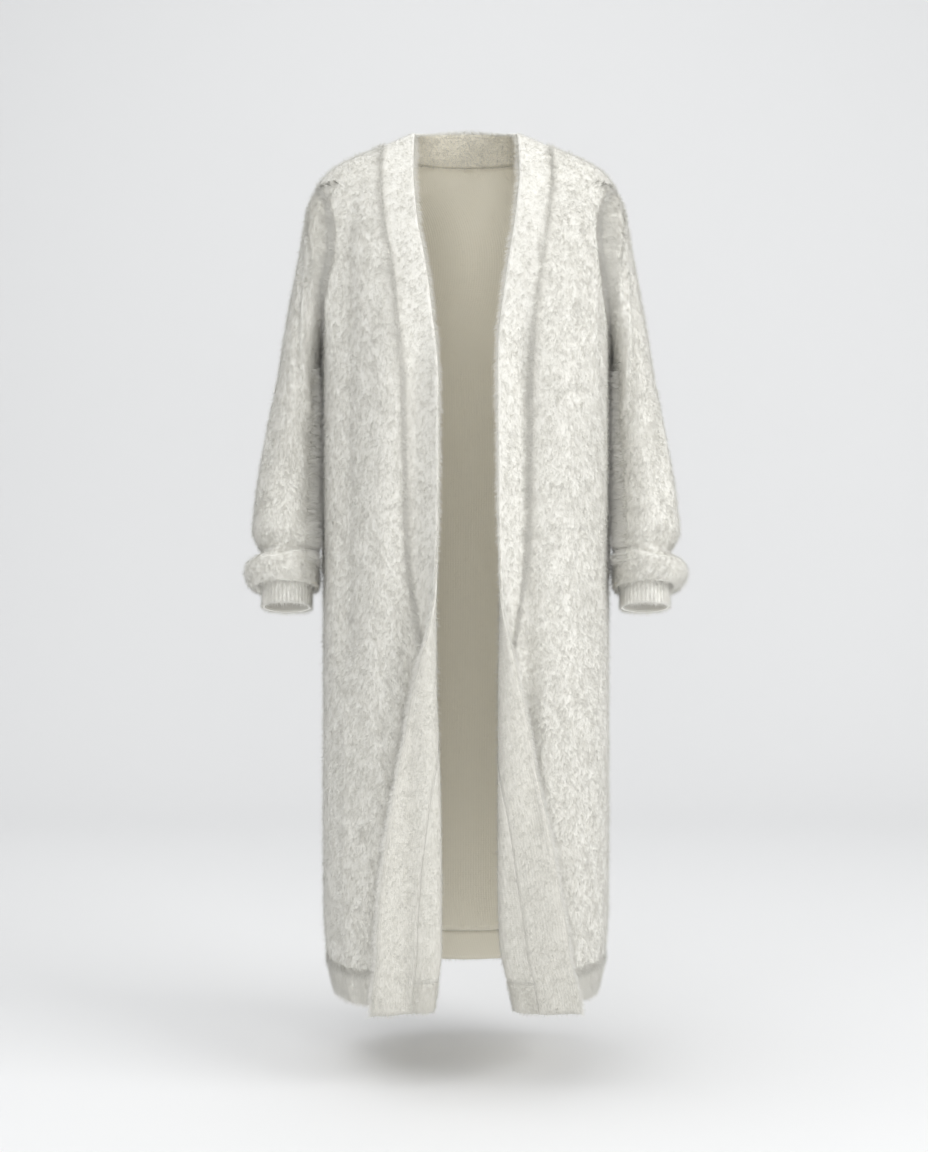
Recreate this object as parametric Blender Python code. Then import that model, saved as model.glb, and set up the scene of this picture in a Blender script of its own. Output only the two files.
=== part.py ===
"""Long open-front cardigan in a brushed, furry knit, filled out as worn, with nobody in it.

Metres, +Z up. The wearer faces -Y and the wearer's left side is at +X. The origin lies midway
between the shoulders at the height of the neck point, where the wearer carries the garment.
Every wall runs inwards from the surface that the tips of the pile reach.
"""
import functools
import math

import bpy
import numpy as np

WALL = 0.005                 # 2 mm of knit and 3 mm of brushed pile
SEAM_GAP = 0.0003            # air between pieces that are sewn together
BAND_WIDTH = 0.043           # front and neck band, from its free edge to its seam
HEM_Z = -1.102
RIB_TOP_Z = -1.064           # where the ribbed hem is sewn to the panels
SHOULDER_TIP_Z = -0.065
UNDERARM_Z = -0.275
ARMHOLE_HALF_DEPTH = 0.076   # half of the armhole from front to back
NECK_SEAM_HALF = 0.110       # half width of the neck seam at the shoulder line
NECK_SEAM_BACK_Z = -0.014    # height of the neck seam at the centre back
NECK_EDGE_HALF = 0.068       # half width of the neck opening at the shoulder line
NECK_EDGE_DEPTH = 0.064      # how far the neck opening reaches behind the shoulder line
NECK_EDGE_RISE = 0.0165       # how far the band stands higher at the centre back
EDGE_TURN = math.radians(160)  # how far a rolled front edge turns over

RIB_PITCH = 0.008
RIB_HEIGHT = 0.0008

LOWER_ROWS = 15              # rows of faces from the hem rib to the underarm
ROW_CROWDING = 0.35          # how much closer those rows lie where the front edges turn over
UPPER_ROWS = 10              # rows of faces from the underarm to the shoulder
FRONT_COLUMNS = 17
BAND_COLUMNS = 6
NECK_COLUMNS = 5             # from the centre back to the shoulder line
SHOULDER_COLUMNS = 6         # from the neck to the shoulder tip, on the back
ROLL_COLUMNS = 7             # columns kept close together beside the band at the hem
ROLL_COLUMN_WIDTH = 0.006
ARC_STEPS = 120              # even, so that the side seam is one of the samples
NECK_ON_BACK = slice(SHOULDER_COLUMNS, SHOULDER_COLUMNS + 2 * NECK_COLUMNS + 1)
NECK_ON_BAND = slice(1 + LOWER_ROWS + UPPER_ROWS, 2 + LOWER_ROWS + UPPER_ROWS + 2 * NECK_COLUMNS)


def table(names, *rows):
    """Turn rows of numbers into one array for each named column."""
    return dict(zip(names.split(), np.array(rows).T))


# Sections of the body, as rounded boxes: half width, depth before and behind, and squareness.
BODY = table(
    "z half_width front back squareness",
    (0.016, 0.052, 0.010, 0.056, 2.1),
    (0.010, 0.068, 0.017, 0.064, 2.1),
    (0.000, 0.090, 0.028, 0.075, 2.2),
    (-0.010, 0.112, 0.038, 0.084, 2.2),
    (-0.020, 0.136, 0.047, 0.091, 2.2),
    (-0.032, 0.162, 0.057, 0.097, 2.2),
    (-0.045, 0.181, 0.068, 0.102, 2.2),
    (-0.065, 0.194, 0.082, 0.108, 2.3),
    (-0.100, 0.197, 0.101, 0.115, 2.4),
    (-0.150, 0.196, 0.119, 0.121, 2.5),
    (-0.210, 0.192, 0.134, 0.126, 2.6),
    (-0.275, 0.187, 0.144, 0.128, 2.6),
    (-0.400, 0.1855, 0.151, 0.128, 2.6),
    (-0.600, 0.1855, 0.153, 0.128, 2.6),
    (-0.850, 0.1855, 0.153, 0.129, 2.7),
    (-1.000, 0.1845, 0.151, 0.130, 2.8),
    (-1.064, 0.1795, 0.147, 0.127, 2.9),
    (-1.102, 0.1710, 0.141, 0.121, 3.0),
)

# Front edges: where the opening shows on each side, how much cloth rolls outwards, and its radius.
EDGE = table(
    "z gap_right gap_left roll_right roll_left radius",
    (-0.065, 0.067, 0.068, 0.000, 0.000, 0.060),
    (-0.127, 0.061, 0.061, 0.000, 0.000, 0.060),
    (-0.170, 0.053, 0.054, 0.000, 0.000, 0.060),
    (-0.210, 0.0465, 0.048, 0.000, 0.000, 0.060),
    (-0.245, 0.042, 0.043, 0.008, 0.008, 0.060),
    (-0.283, 0.0365, 0.0385, 0.020, 0.020, 0.060),
    (-0.340, 0.032, 0.0365, 0.032, 0.032, 0.055),
    (-0.480, 0.0315, 0.0365, 0.036, 0.036, 0.045),
    (-0.560, 0.033, 0.0375, 0.036, 0.036, 0.028),
    (-0.620, 0.0345, 0.0385, 0.038, 0.038, 0.018),
    (-0.700, 0.0345, 0.0375, 0.046, 0.044, 0.0125),
    (-0.780, 0.032, 0.0375, 0.0595, 0.0555, 0.010),
    (-0.860, 0.030, 0.0375, 0.0725, 0.0685, 0.009),
    (-0.940, 0.029, 0.0375, 0.082, 0.080, 0.009),
    (-1.020, 0.029, 0.040, 0.086, 0.088, 0.009),
    (-1.064, 0.033, 0.049, 0.086, 0.088, 0.009),
    (-1.102, 0.038, 0.057, 0.083, 0.085, 0.009),
)

# Folds of the body. A station is 0 at the centre front, 1 at the side seam and 2 at the centre
# back, and is positive on the wearer's left. A height below 0 is a hollow.
FOLDS = table(
    "station_top station_bottom z_top z_bottom spread height",
    (-0.72, -0.72, -0.05, -0.34, 0.050, 0.005),
    (-0.60, -0.60, -0.03, -0.26, 0.045, -0.005),
    (-0.33, -0.46, -0.18, -1.10, 0.100, 0.008),
    (-0.59, -0.60, -0.12, -0.74, 0.070, -0.008),
    (-0.55, -0.55, -0.68, -1.30, 0.050, 0.004),
    (-0.215, -0.27, -0.24, -1.30, 0.050, -0.007),
    (0.26, 0.28, -0.20, -0.92, 0.050, -0.010),
    (0.46, 0.46, -0.24, -1.10, 0.080, 0.006),
    (0.64, 0.64, -0.05, -0.40, 0.040, 0.003),
    (0.42, 0.42, -0.70, -1.30, 0.050, -0.003),
    (1.45, 1.42, -0.30, -1.30, 0.100, -0.005),
    (-1.45, -1.42, -0.30, -1.30, 0.100, -0.005),
    (1.75, 1.78, -0.30, -1.30, 0.100, 0.004),
    (-1.75, -1.78, -0.34, -1.30, 0.100, 0.004),
    (2.00, 2.00, -0.28, -1.30, 0.120, -0.004),
    (1.18, 1.20, -0.40, -1.30, 0.080, 0.004),
    (-1.18, -1.20, -0.40, -1.30, 0.080, 0.004),
)
FOLD_FADE = 0.12             # how softly a fold starts and ends

# Sections of the sleeve at +X, from the armhole to the end that turns up inside the puff:
# its outer and its inner point, half its depth and the place of its centre from front to back.
SLEEVE = table(
    "outer_x outer_z inner_x inner_z half_depth centre_y",
    (0.2035, -0.085, 0.1875, -0.283, 0.078, 0.001),
    (0.2110, -0.113, 0.1885, -0.292, 0.076, 0.002),
    (0.2180, -0.152, 0.1895, -0.305, 0.073, 0.003),
    (0.2280, -0.203, 0.1895, -0.325, 0.069, 0.004),
    (0.2380, -0.257, 0.1895, -0.350, 0.066, 0.004),
    (0.2470, -0.315, 0.1895, -0.385, 0.063, 0.002),
    (0.2560, -0.370, 0.1895, -0.425, 0.061, -0.003),
    (0.2650, -0.425, 0.1895, -0.465, 0.059, -0.010),
    (0.2730, -0.475, 0.1895, -0.500, 0.058, -0.018),
    (0.2765, -0.515, 0.1895, -0.525, 0.056, -0.028),
    (0.2700, -0.533, 0.1900, -0.537, 0.050, -0.032),
    (0.2625, -0.544, 0.1935, -0.545, 0.045, -0.034),
    (0.2700, -0.551, 0.1895, -0.551, 0.048, -0.035),
    (0.2835, -0.560, 0.1885, -0.562, 0.053, -0.037),
    (0.2860, -0.570, 0.1885, -0.573, 0.054, -0.038),
    (0.2820, -0.582, 0.1890, -0.584, 0.050, -0.040),
    (0.2730, -0.590, 0.1920, -0.590, 0.044, -0.041),
    (0.2660, -0.586, 0.1945, -0.586, 0.036, -0.041),
    (0.2640, -0.578, 0.1955, -0.578, 0.034, -0.040),
)
SLEEVE_POINTS = 2 * UPPER_ROWS
WRIST_TILT = math.radians(15)  # the forearm reaches forwards, so the wrist's front is higher
TILT_FROM_Z = -0.36
TILT_FULL_Z = -0.55

# Folds of a sleeve: angle round it (0 under, 90 front, 180 outside, 270 back), section from and
# to, spreads, height, and the side that has it (0 is both).
SLEEVE_FOLDS = table(
    "angle_top angle_bottom section_top section_bottom spread height side",
    (150, 60, 2.0, 6.5, 16, -0.006, 0),
    (125, 35, 2.6, 6.8, 18, 0.004, 0),
    (100, 100, 0.5, 3.5, 14, -0.003, 0),
    (205, 235, 1.5, 6.5, 24, -0.004, 0),
    (250, 290, 3.5, 8.5, 26, 0.003, 0),
    (140, 120, 6.5, 9.8, 18, -0.004, 1),
    (70, 110, 6.8, 9.8, 18, -0.004, -1),
    (165, 150, 6.0, 9.5, 16, 0.003, 0),
    (60, 110, 11.6, 13.8, 16, -0.003, 0),
    (200, 240, 11.4, 13.6, 18, -0.003, 0),
)

# The cuff at +X: heights of its sections, their centre, radii and forward tilt.
CUFF = table(
    "z centre_x centre_y half_width half_depth",
    (-0.571, 0.2298, -0.0400, 0.0322, 0.0320),
    (-0.592, 0.2298, -0.0440, 0.0324, 0.0312),
    (-0.612, 0.2298, -0.0485, 0.0330, 0.0300),
)
CUFF_RIBS = 36

CREAM = (0.86, 0.84, 0.79, 1.0)
RIB_CREAM = (0.84, 0.82, 0.765, 1.0)


class Curve:
    """A smooth curve through one column of a table, which never overshoots its rows."""

    def __init__(self, keys, values):
        order = np.argsort(keys)
        self.keys = np.asarray(keys, float)[order]
        self.values = np.asarray(values, float)[order]
        width = np.diff(self.keys)
        grade = np.diff(self.values) / width
        before, after = grade[:-1], grade[1:]
        turning = before * after <= 0
        product = np.where(turning, 1.0, before * after)
        total = np.where(turning, 1.0, before + after)
        inner = np.where(turning, 0.0, 2 * product / total)
        self.slopes = np.concatenate(([grade[0]], inner, [grade[-1]]))

    def __call__(self, key):
        key = np.clip(key, self.keys[0], self.keys[-1])
        at = np.clip(np.searchsorted(self.keys, key) - 1, 0, len(self.keys) - 2)
        width = self.keys[at + 1] - self.keys[at]
        t = (key - self.keys[at]) / width
        start, end = self.values[at], self.values[at + 1]
        lean_start, lean_end = self.slopes[at] * width, self.slopes[at + 1] * width
        bend = 2 * (start - end) + lean_start + lean_end
        return ((bend * t + 3 * (end - start) - 2 * lean_start - lean_end) * t + lean_start) * t + start


def curves(source, key):
    """Make a curve for each column of a table, all read by the same key."""
    return {name: Curve(source[key], values) for name, values in source.items() if name != key}


BODY_CURVES = curves(BODY, "z")
EDGE_CURVES = curves(EDGE, "z")
SHOULDER_LINE = Curve(BODY["half_width"][:8], BODY["z"][:8])


def mix(start, end, share):
    return start + (end - start) * share


def ease(value):
    """Go smoothly from 0 to 1 while the value does."""
    value = np.clip(value, 0.0, 1.0)
    return value * value * (3 - 2 * value)


def unit(vectors):
    return vectors / np.linalg.norm(vectors, axis=-1, keepdims=True)


@functools.lru_cache(maxsize=None)
def half_ring(z):
    """Sample half of the body's section, from the centre front round the side to the centre back."""
    turn = np.linspace(0, math.pi, ARC_STEPS + 1)
    across, along = np.sin(turn), -np.cos(turn)
    depth = np.where(along < 0, BODY_CURVES["front"](z), BODY_CURVES["back"](z))
    power = BODY_CURVES["squareness"](z)
    size = np.abs(across / BODY_CURVES["half_width"](z)) ** power + np.abs(along / depth) ** power
    points = np.stack((across, along), axis=1) * (size ** (-1 / power))[:, None]
    steps = np.linalg.norm(np.diff(points, axis=0), axis=1)
    length = np.concatenate(([0.0], np.cumsum(steps)))
    tangent = np.gradient(points, axis=0)
    normal = unit(np.stack((tangent[:, 1], -tangent[:, 0]), axis=1))
    return points, normal, length


def side_length(z):
    """Distance along the section from the centre front to the side seam."""
    return half_ring(z)[2][ARC_STEPS // 2]


def fold_height(station, z):
    """How far all folds together lift the cloth at a station and height."""
    share = np.clip((FOLDS["z_top"] - z) / (FOLDS["z_top"] - FOLDS["z_bottom"]), 0, 1)
    centre = mix(FOLDS["station_top"], FOLDS["station_bottom"], share)
    apart = (station - centre + 2) % 4 - 2
    fade = ease((FOLDS["z_top"] - z) / FOLD_FADE) * ease((z - FOLDS["z_bottom"]) / FOLD_FADE)
    return float(np.sum(FOLDS["height"] * fade * np.exp(-(apart / FOLDS["spread"]) ** 2)))


def ring_point(side, length, z, lift=0.0):
    """A point of the body's surface at a distance from the centre front, lifted off the section."""
    points, normals, lengths = half_ring(z)
    place = np.array([np.interp(length, lengths, points[:, axis]) for axis in (0, 1)])
    normal = unit(np.array([np.interp(length, lengths, normals[:, axis]) for axis in (0, 1)]))
    middle = side_length(z)
    station = length / middle if length < middle else 1 + (length - middle) / (lengths[-1] - middle)
    place = place + normal * (lift + fold_height(side * station, z))
    return np.array((side * place[0], place[1], z))


def edge_values(side, z):
    """Where the front edge starts to roll, how much cloth rolls, and its radius."""
    name = "left" if side > 0 else "right"
    gap, roll = EDGE_CURVES["gap_" + name](z), EDGE_CURVES["roll_" + name](z)
    radius = EDGE_CURVES["radius"](z)
    start_x = gap + (radius + WALL) * math.sin(min(roll / radius, math.pi / 2))
    points, _, lengths = half_ring(z)
    half = ARC_STEPS // 2 + 1
    return np.interp(start_x, points[:half, 0], lengths[:half]), roll, radius


def front_point(side, distance, z):
    """A point of a front, at a distance along the cloth from its free edge."""
    start, roll, radius = edge_values(side, z)
    rolled = roll - distance
    if rolled <= 0:
        return ring_point(side, start - rolled, z)
    turn = min(rolled / radius, EDGE_TURN)
    flat = max(rolled - radius * EDGE_TURN, 0.0)
    length = start - radius * math.sin(turn) - flat * math.cos(turn)
    lift = radius * (1 - math.cos(turn)) + flat * math.sin(turn)
    return ring_point(side, length, z, lift)


def armhole_depth(z):
    """Half of the armhole's depth at a height between the underarm and the shoulder tip."""
    middle = (UNDERARM_Z + SHOULDER_TIP_Z) / 2
    half = (SHOULDER_TIP_Z - UNDERARM_Z) / 2
    return ARMHOLE_HALF_DEPTH * math.sqrt(max(0.0, 1 - ((z - middle) / half) ** 2))


def front_width(side, z):
    """Length of the cloth from the free edge to the side seam or the armhole."""
    points, _, lengths = half_ring(z)
    half = ARC_STEPS // 2 + 1
    depth = armhole_depth(z) if UNDERARM_Z < z < SHOULDER_TIP_Z else 0.0
    start, roll, _ = edge_values(side, z)
    return np.interp(-depth, points[:half, 1], lengths[:half]) - start + roll


def back_width(z):
    """Length of the cloth from the centre back to the side seam or the armhole."""
    points, _, lengths = half_ring(z)
    half = ARC_STEPS // 2
    depth = armhole_depth(z) if UNDERARM_Z < z < SHOULDER_TIP_Z else 0.0
    return lengths[-1] - np.interp(depth, points[half:, 1], lengths[half:])


def dome_point(side, face, x, z):
    """A point near the shoulder, at a distance x from the middle; face is -1 before, 1 behind."""
    half_width = BODY_CURVES["half_width"](z)
    power = BODY_CURVES["squareness"](z)
    depth = BODY_CURVES["back" if face > 0 else "front"](z)
    share = max(0.0, 1 - (x / half_width) ** power)
    return np.array((side * x, face * depth * share ** (1 / power), z))


def upper_z(top, share):
    """Height of a row between the underarm and a column's top, closer together near both."""
    return mix(UNDERARM_Z, top, (1 - math.cos(math.pi * share)) / 2)


def front_rows():
    """Heights of the rows from the top of the hem rib to the underarm."""
    share = np.arange(LOWER_ROWS + 1) / LOWER_ROWS
    share = share + ROW_CROWDING * np.sin(2 * math.pi * share) / (2 * math.pi)
    return mix(RIB_TOP_Z, UNDERARM_Z, share)


def place_at_x(side, x):
    """Distance along the cloth of a front, at the shoulder tip's height, where its x is reached."""
    points, _, lengths = half_ring(SHOULDER_TIP_Z)
    half = ARC_STEPS // 2 + 1
    start, roll, _ = edge_values(side, SHOULDER_TIP_Z)
    return np.interp(x, points[:half, 0], lengths[:half]) - start + roll


def shoulder_places(columns):
    """Distances from the middle where the columns meet the shoulder line, from neck to tip."""
    share = np.sin(math.pi / 2 * np.arange(columns + 1) / columns)
    return mix(NECK_SEAM_HALF, BODY_CURVES["half_width"](SHOULDER_TIP_Z), share)


def front_shares(side, z):
    """Places of a front panel's columns, from 0 at the band seam to 1 at the side."""
    even = np.arange(FRONT_COLUMNS + 1) / FRONT_COLUMNS
    width = front_width(side, z) - BAND_WIDTH
    tip_width = front_width(side, SHOULDER_TIP_Z) - BAND_WIDTH
    top = (place_at_x(side, shoulder_places(FRONT_COLUMNS)) - BAND_WIDTH) / tip_width
    top[0], top[-1] = 0.0, 1.0
    close = np.arange(ROLL_COLUMNS + 1) * ROLL_COLUMN_WIDTH / width
    rest = np.linspace(close[-1], 1, FRONT_COLUMNS - ROLL_COLUMNS + 1)[1:]
    hem = np.concatenate((close, rest))
    upper = mix(top, even, ease((SHOULDER_TIP_Z - z) / 0.14))
    return mix(upper, hem, ease((-0.40 - z) / 0.35))


def front_grid(side, distances, shoulder_x):
    """Points of a front from the rib's top to the shoulder; distances gives them at a height."""
    rows = [[front_point(side, d, z) for d in distances(z)] for z in front_rows()]
    tip = [front_point(side, d, SHOULDER_TIP_Z)[0] * side for d in distances(SHOULDER_TIP_Z)]
    for row in range(1, UPPER_ROWS + 1):
        line = []
        for column, x in enumerate(shoulder_x):
            top = float(SHOULDER_LINE(x))
            z = upper_z(top, row / UPPER_ROWS)
            if z <= SHOULDER_TIP_Z:
                line.append(front_point(side, distances(z)[column], z))
            else:
                share = (z - SHOULDER_TIP_Z) / (top - SHOULDER_TIP_Z)
                line.append(dome_point(side, -1, mix(tip[column], x, share), z))
        rows.append(line)
    return np.array(rows)


def back_shares(z):
    """Places of the back's columns on one half, from 0 at the centre back to 1 at the side."""
    count = NECK_COLUMNS + SHOULDER_COLUMNS
    points, _, lengths = half_ring(SHOULDER_TIP_Z)
    half = ARC_STEPS // 2
    behind = np.interp(-back_places(), -points[half:, 0], lengths[half:])
    top = (lengths[-1] - behind) / back_width(SHOULDER_TIP_Z)
    top[0], top[-1] = 0.0, 1.0
    return mix(top, np.arange(count + 1) / count, ease((SHOULDER_TIP_Z - z) / 0.20))


def back_places():
    """Distances from the middle where the back's columns end at the neck seam and the shoulder."""
    angle = math.pi / 2 * np.arange(NECK_COLUMNS) / NECK_COLUMNS
    return np.concatenate((NECK_SEAM_HALF * np.sin(angle), shoulder_places(SHOULDER_COLUMNS)))


def back_top(x):
    """Height where the back ends: the neck seam, or past it the shoulder line."""
    if x >= NECK_SEAM_HALF:
        return float(SHOULDER_LINE(x))
    return mix(NECK_SEAM_BACK_Z, float(SHOULDER_LINE(NECK_SEAM_HALF)), (x / NECK_SEAM_HALF) ** 2)


def back_point(side, distance, z):
    """A point of the back, at a distance along the cloth from its centre."""
    return ring_point(side, half_ring(z)[2][-1] - distance, z)


def back_half(side):
    """Points of half of the back, from its centre to the side, rows from the hem up."""
    rows = [[back_point(side, d, z) for d in back_shares(z) * back_width(z)] for z in front_rows()]
    places = back_places()
    for row in range(1, UPPER_ROWS + 1):
        line = []
        for column, x in enumerate(places):
            z = upper_z(back_top(x), row / UPPER_ROWS)
            if z <= SHOULDER_TIP_Z:
                distance = back_shares(z)[column] * back_width(z)
                line.append(back_point(side, distance, z))
            else:
                line.append(dome_point(side, 1, x, z))
        rows.append(line)
    return np.array(rows)


@functools.lru_cache(maxsize=None)
def back_grid():
    """Points of the whole back, from the right side to the left, and their normals."""
    points = np.concatenate((back_half(-1)[:, ::-1], back_half(1)[:, 1:]), axis=1)
    return points, grid_normals(points, -1)


def armhole_point(side, angle):
    """A point of the armhole's seam: 0 under the arm, 90 degrees in front, 180 on the shoulder."""
    middle = (UNDERARM_Z + SHOULDER_TIP_Z) / 2
    half = (SHOULDER_TIP_Z - UNDERARM_Z) / 2
    z = middle - half * math.cos(angle)
    y = -ARMHOLE_HALF_DEPTH * math.sin(angle)
    power = BODY_CURVES["squareness"](z)
    depth = BODY_CURVES["front" if y < 0 else "back"](z)
    share = max(0.0, 1 - (abs(y) / depth) ** power)
    return np.array((side * BODY_CURVES["half_width"](z) * share ** (1 / power), y, z))


def armhole_ring(side):
    """Points of the armhole's seam, the way its wall faces there, and the way to the sleeve."""
    angles = 2 * math.pi * np.arange(SLEEVE_POINTS) / SLEEVE_POINTS
    points = np.array([armhole_point(side, angle) for angle in angles])
    lean = 0.225 * (1 - np.cos(angles))
    facing = np.stack((side * lean, -np.sin(angles), -np.cos(angles)), axis=1)
    facing = unit(facing)
    along = unit(np.roll(points, -1, axis=0) - np.roll(points, 1, axis=0))
    across = unit(np.cross(facing, along))
    across *= np.sign(across[:, :1] * side)
    return points, facing, across


def grid_normals(points, sign, closed=False):
    """Unit normals of a grid of points, from its neighbours."""
    if closed:
        across = np.roll(points, -1, axis=1) - np.roll(points, 1, axis=1)
    else:
        across = np.gradient(points, axis=1)
    return unit(np.cross(across, np.gradient(points, axis=0))) * sign


def flat_facing(facing, axis):
    """Turn directions into a plane across one axis, so that a rim lies flat in it."""
    facing = facing.copy()
    facing[..., axis] = 0.0
    return unit(facing)


def knit_material(name, colour, roughness):
    material = bpy.data.materials.new(name)
    material.use_nodes = True
    shader = material.node_tree.nodes["Principled BSDF"]
    shader.inputs["Base Color"].default_value = colour
    shader.inputs["Roughness"].default_value = roughness
    shader.inputs["Metallic"].default_value = 0.0
    return material


def split_quad(vertices, quad):
    """Cut a rim's face along its shorter diagonal, so that two rims that meet have the same form."""
    a, b, c, d = quad
    if np.linalg.norm(vertices[a] - vertices[c]) < np.linalg.norm(vertices[b] - vertices[d]):
        return [[a, b, c], [a, c, d]]
    return [[a, b, d], [b, c, d]]


def add_shell(name, outer, inner, material, closed=False):
    """Make one closed wall between two grids of points."""
    rows, columns = outer.shape[:2]
    size = rows * columns
    index = np.arange(size).reshape(rows, columns)
    if closed:
        index = np.concatenate((index, index[:, :1]), axis=1)
    faces = []
    for row in range(index.shape[0] - 1):
        for column in range(index.shape[1] - 1):
            quad = [index[row, column], index[row, column + 1]]
            quad += [index[row + 1, column + 1], index[row + 1, column]]
            faces.append(quad)
            faces.append([corner + size for corner in reversed(quad)])
    rims = [list(index[0]), list(reversed(index[-1]))]
    if not closed:
        rims += [list(reversed(index[:, 0])), list(index[:, -1])]
    vertices = np.concatenate((outer.reshape(-1, 3), inner.reshape(-1, 3)))
    for rim in rims:
        for start, end in zip(rim[:-1], rim[1:]):
            faces += split_quad(vertices, (end, start, start + size, end + size))
    mesh = bpy.data.meshes.new(name)
    mesh.from_pydata(vertices.tolist(), [], [[int(corner) for corner in face] for face in faces])
    if signed_volume(mesh) < 0:
        mesh.flip_normals()
    mesh.shade_smooth()
    mesh.set_sharp_from_angle(angle=math.radians(40))
    mesh.materials.append(material)
    piece = bpy.data.objects.new(name, mesh)
    bpy.context.collection.objects.link(piece)
    return piece


def signed_volume(mesh):
    mesh.calc_loop_triangles()
    total = 0.0
    for triangle in mesh.loop_triangles:
        a, b, c = (mesh.vertices[i].co for i in triangle.vertices)
        total += a.dot(b.cross(c))
    return total


def build_front(side, name, material):
    """A front panel, from its band seam to the side seam and the armhole."""
    def distances(z):
        return BAND_WIDTH + front_shares(side, z) * (front_width(side, z) - BAND_WIDTH)

    points = front_grid(side, distances, shoulder_places(FRONT_COLUMNS))
    facing = grid_normals(points, side)
    seam_points, seam_facing, seam_gap = band_seam()
    count = LOWER_ROWS + UPPER_ROWS + 1
    seam_rows = slice(1, 1 + count) if side < 0 else slice(-2, -2 - count, -1)
    facing[:, 0] = seam_facing[seam_rows]
    side_rows = slice(0, LOWER_ROWS + 1)
    facing[side_rows, -1] = flat_facing(facing[side_rows, -1], 1)
    facing[-1] = flat_facing(facing[-1], 1)
    facing[0] = flat_facing(facing[0], 2)
    ring, ring_facing, across = armhole_ring(side)
    armhole = slice(LOWER_ROWS, None)
    around = np.arange(UPPER_ROWS + 1)
    points[armhole, -1] = ring[around]
    facing[armhole, -1] = ring_facing[around]
    moved = points.copy()
    moved[:, 0] = seam_points[seam_rows] - seam_gap[seam_rows]
    moved[armhole, -1] -= across[around] * SEAM_GAP / 2
    moved[side_rows, -1, 1] = -SEAM_GAP / 2
    moved[-1, :, 1] = -SEAM_GAP / 2
    moved[0, :, 2] = RIB_TOP_Z + SEAM_GAP / 2
    inner = moved - WALL * facing
    inner[side_rows, -1, 1] = -SEAM_GAP / 2
    return add_shell(name, moved, inner, material)


def build_back(name, material):
    """The back, from side to side, up to the shoulders and the neck seam."""
    points, facing = back_grid()
    facing = facing.copy()
    seam_points, seam_facing, seam_gap = band_seam()
    facing[-1] = flat_facing(facing[-1], 1)
    facing[-1, NECK_ON_BACK] = seam_facing[NECK_ON_BAND]
    facing[0] = flat_facing(facing[0], 2)
    side_rows = slice(0, LOWER_ROWS + 1)
    armhole = slice(LOWER_ROWS, None)
    around = -np.arange(UPPER_ROWS + 1)
    moved = points.copy()
    moved[-1, :, 1] = SEAM_GAP / 2
    moved[-1, NECK_ON_BACK] = seam_points[NECK_ON_BAND] - seam_gap[NECK_ON_BAND]
    moved[-1, :, 1] = np.maximum(moved[-1, :, 1], SEAM_GAP / 2)
    for side, column in ((-1, 0), (1, -1)):
        ring, ring_facing, across = armhole_ring(side)
        facing[side_rows, column] = flat_facing(facing[side_rows, column], 1)
        facing[armhole, column] = ring_facing[around]
        moved[armhole, column] = ring[around] - across[around] * SEAM_GAP / 2
        moved[side_rows, column, 1] = SEAM_GAP / 2
        moved[-1, column, 1] = SEAM_GAP / 2
    moved[0, :, 2] = RIB_TOP_Z + SEAM_GAP / 2
    inner = moved - WALL * facing
    return add_shell(name, moved, inner, material)


@functools.lru_cache(maxsize=None)
def band_grid():
    """Points of the whole band, from its free edge to its seam, hem to hem over the neck."""
    share = np.arange(BAND_COLUMNS + 1) / BAND_COLUMNS
    shoulder_x = mix(NECK_EDGE_HALF, NECK_SEAM_HALF, share)

    def distances(z):
        return share * BAND_WIDTH

    fronts = []
    for side in (-1, 1):
        hem = np.array([[front_point(side, d, HEM_Z) for d in distances(HEM_Z)]])
        fronts.append(np.concatenate((hem, front_grid(side, distances, shoulder_x))))
    neck = []
    for step in range(1, 2 * NECK_COLUMNS):
        angle = math.pi / 2 * (step / NECK_COLUMNS - 1)
        seam_x = NECK_SEAM_HALF * math.sin(angle)
        seam = dome_point(1, 1, abs(seam_x), back_top(abs(seam_x)))
        seam[0] = seam_x
        rise = float(SHOULDER_LINE(NECK_EDGE_HALF)) + NECK_EDGE_RISE * math.cos(angle) ** 0.9
        edge_y = NECK_EDGE_DEPTH * math.cos(angle) ** 0.9
        edge = np.array((NECK_EDGE_HALF * math.sin(angle), edge_y, rise))
        neck.append(mix(edge, seam, share[:, None]))
    points = np.concatenate((fronts[0], np.array(neck), fronts[1][::-1]))
    return points, grid_normals(points, -1)


@functools.lru_cache(maxsize=None)
def band_seam():
    """The seam of the band with the panels: its points, the way it faces, and half of its gap."""
    points, facing = band_grid()
    line, line_facing = points[:, -1], facing[:, -1].copy()
    line_facing[NECK_ON_BAND] += back_grid()[1][-1, NECK_ON_BACK]
    line_facing = unit(line_facing)
    rib_ends = [0, 1, -2, -1]
    line_facing[rib_ends] = flat_facing(line_facing[rib_ends], 2)
    across = unit(np.cross(line_facing, np.gradient(line, axis=0)))
    across *= np.sign(np.sum(across * (points[:, -2] - line), axis=1, keepdims=True))
    return line, line_facing, across * SEAM_GAP / 2


def build_band(name, material):
    """The band, one strip up a front edge, round the back of the neck and down the other."""
    points, facing = band_grid()
    seam_points, seam_facing, seam_gap = band_seam()
    moved = points.copy()
    moved[:, -1] = seam_points + seam_gap
    facing = facing.copy()
    facing[:, -1] = seam_facing
    facing[0] = flat_facing(facing[0], 2)
    facing[-1] = flat_facing(facing[-1], 2)
    return add_shell(name, moved, moved - WALL * facing, material)


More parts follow.
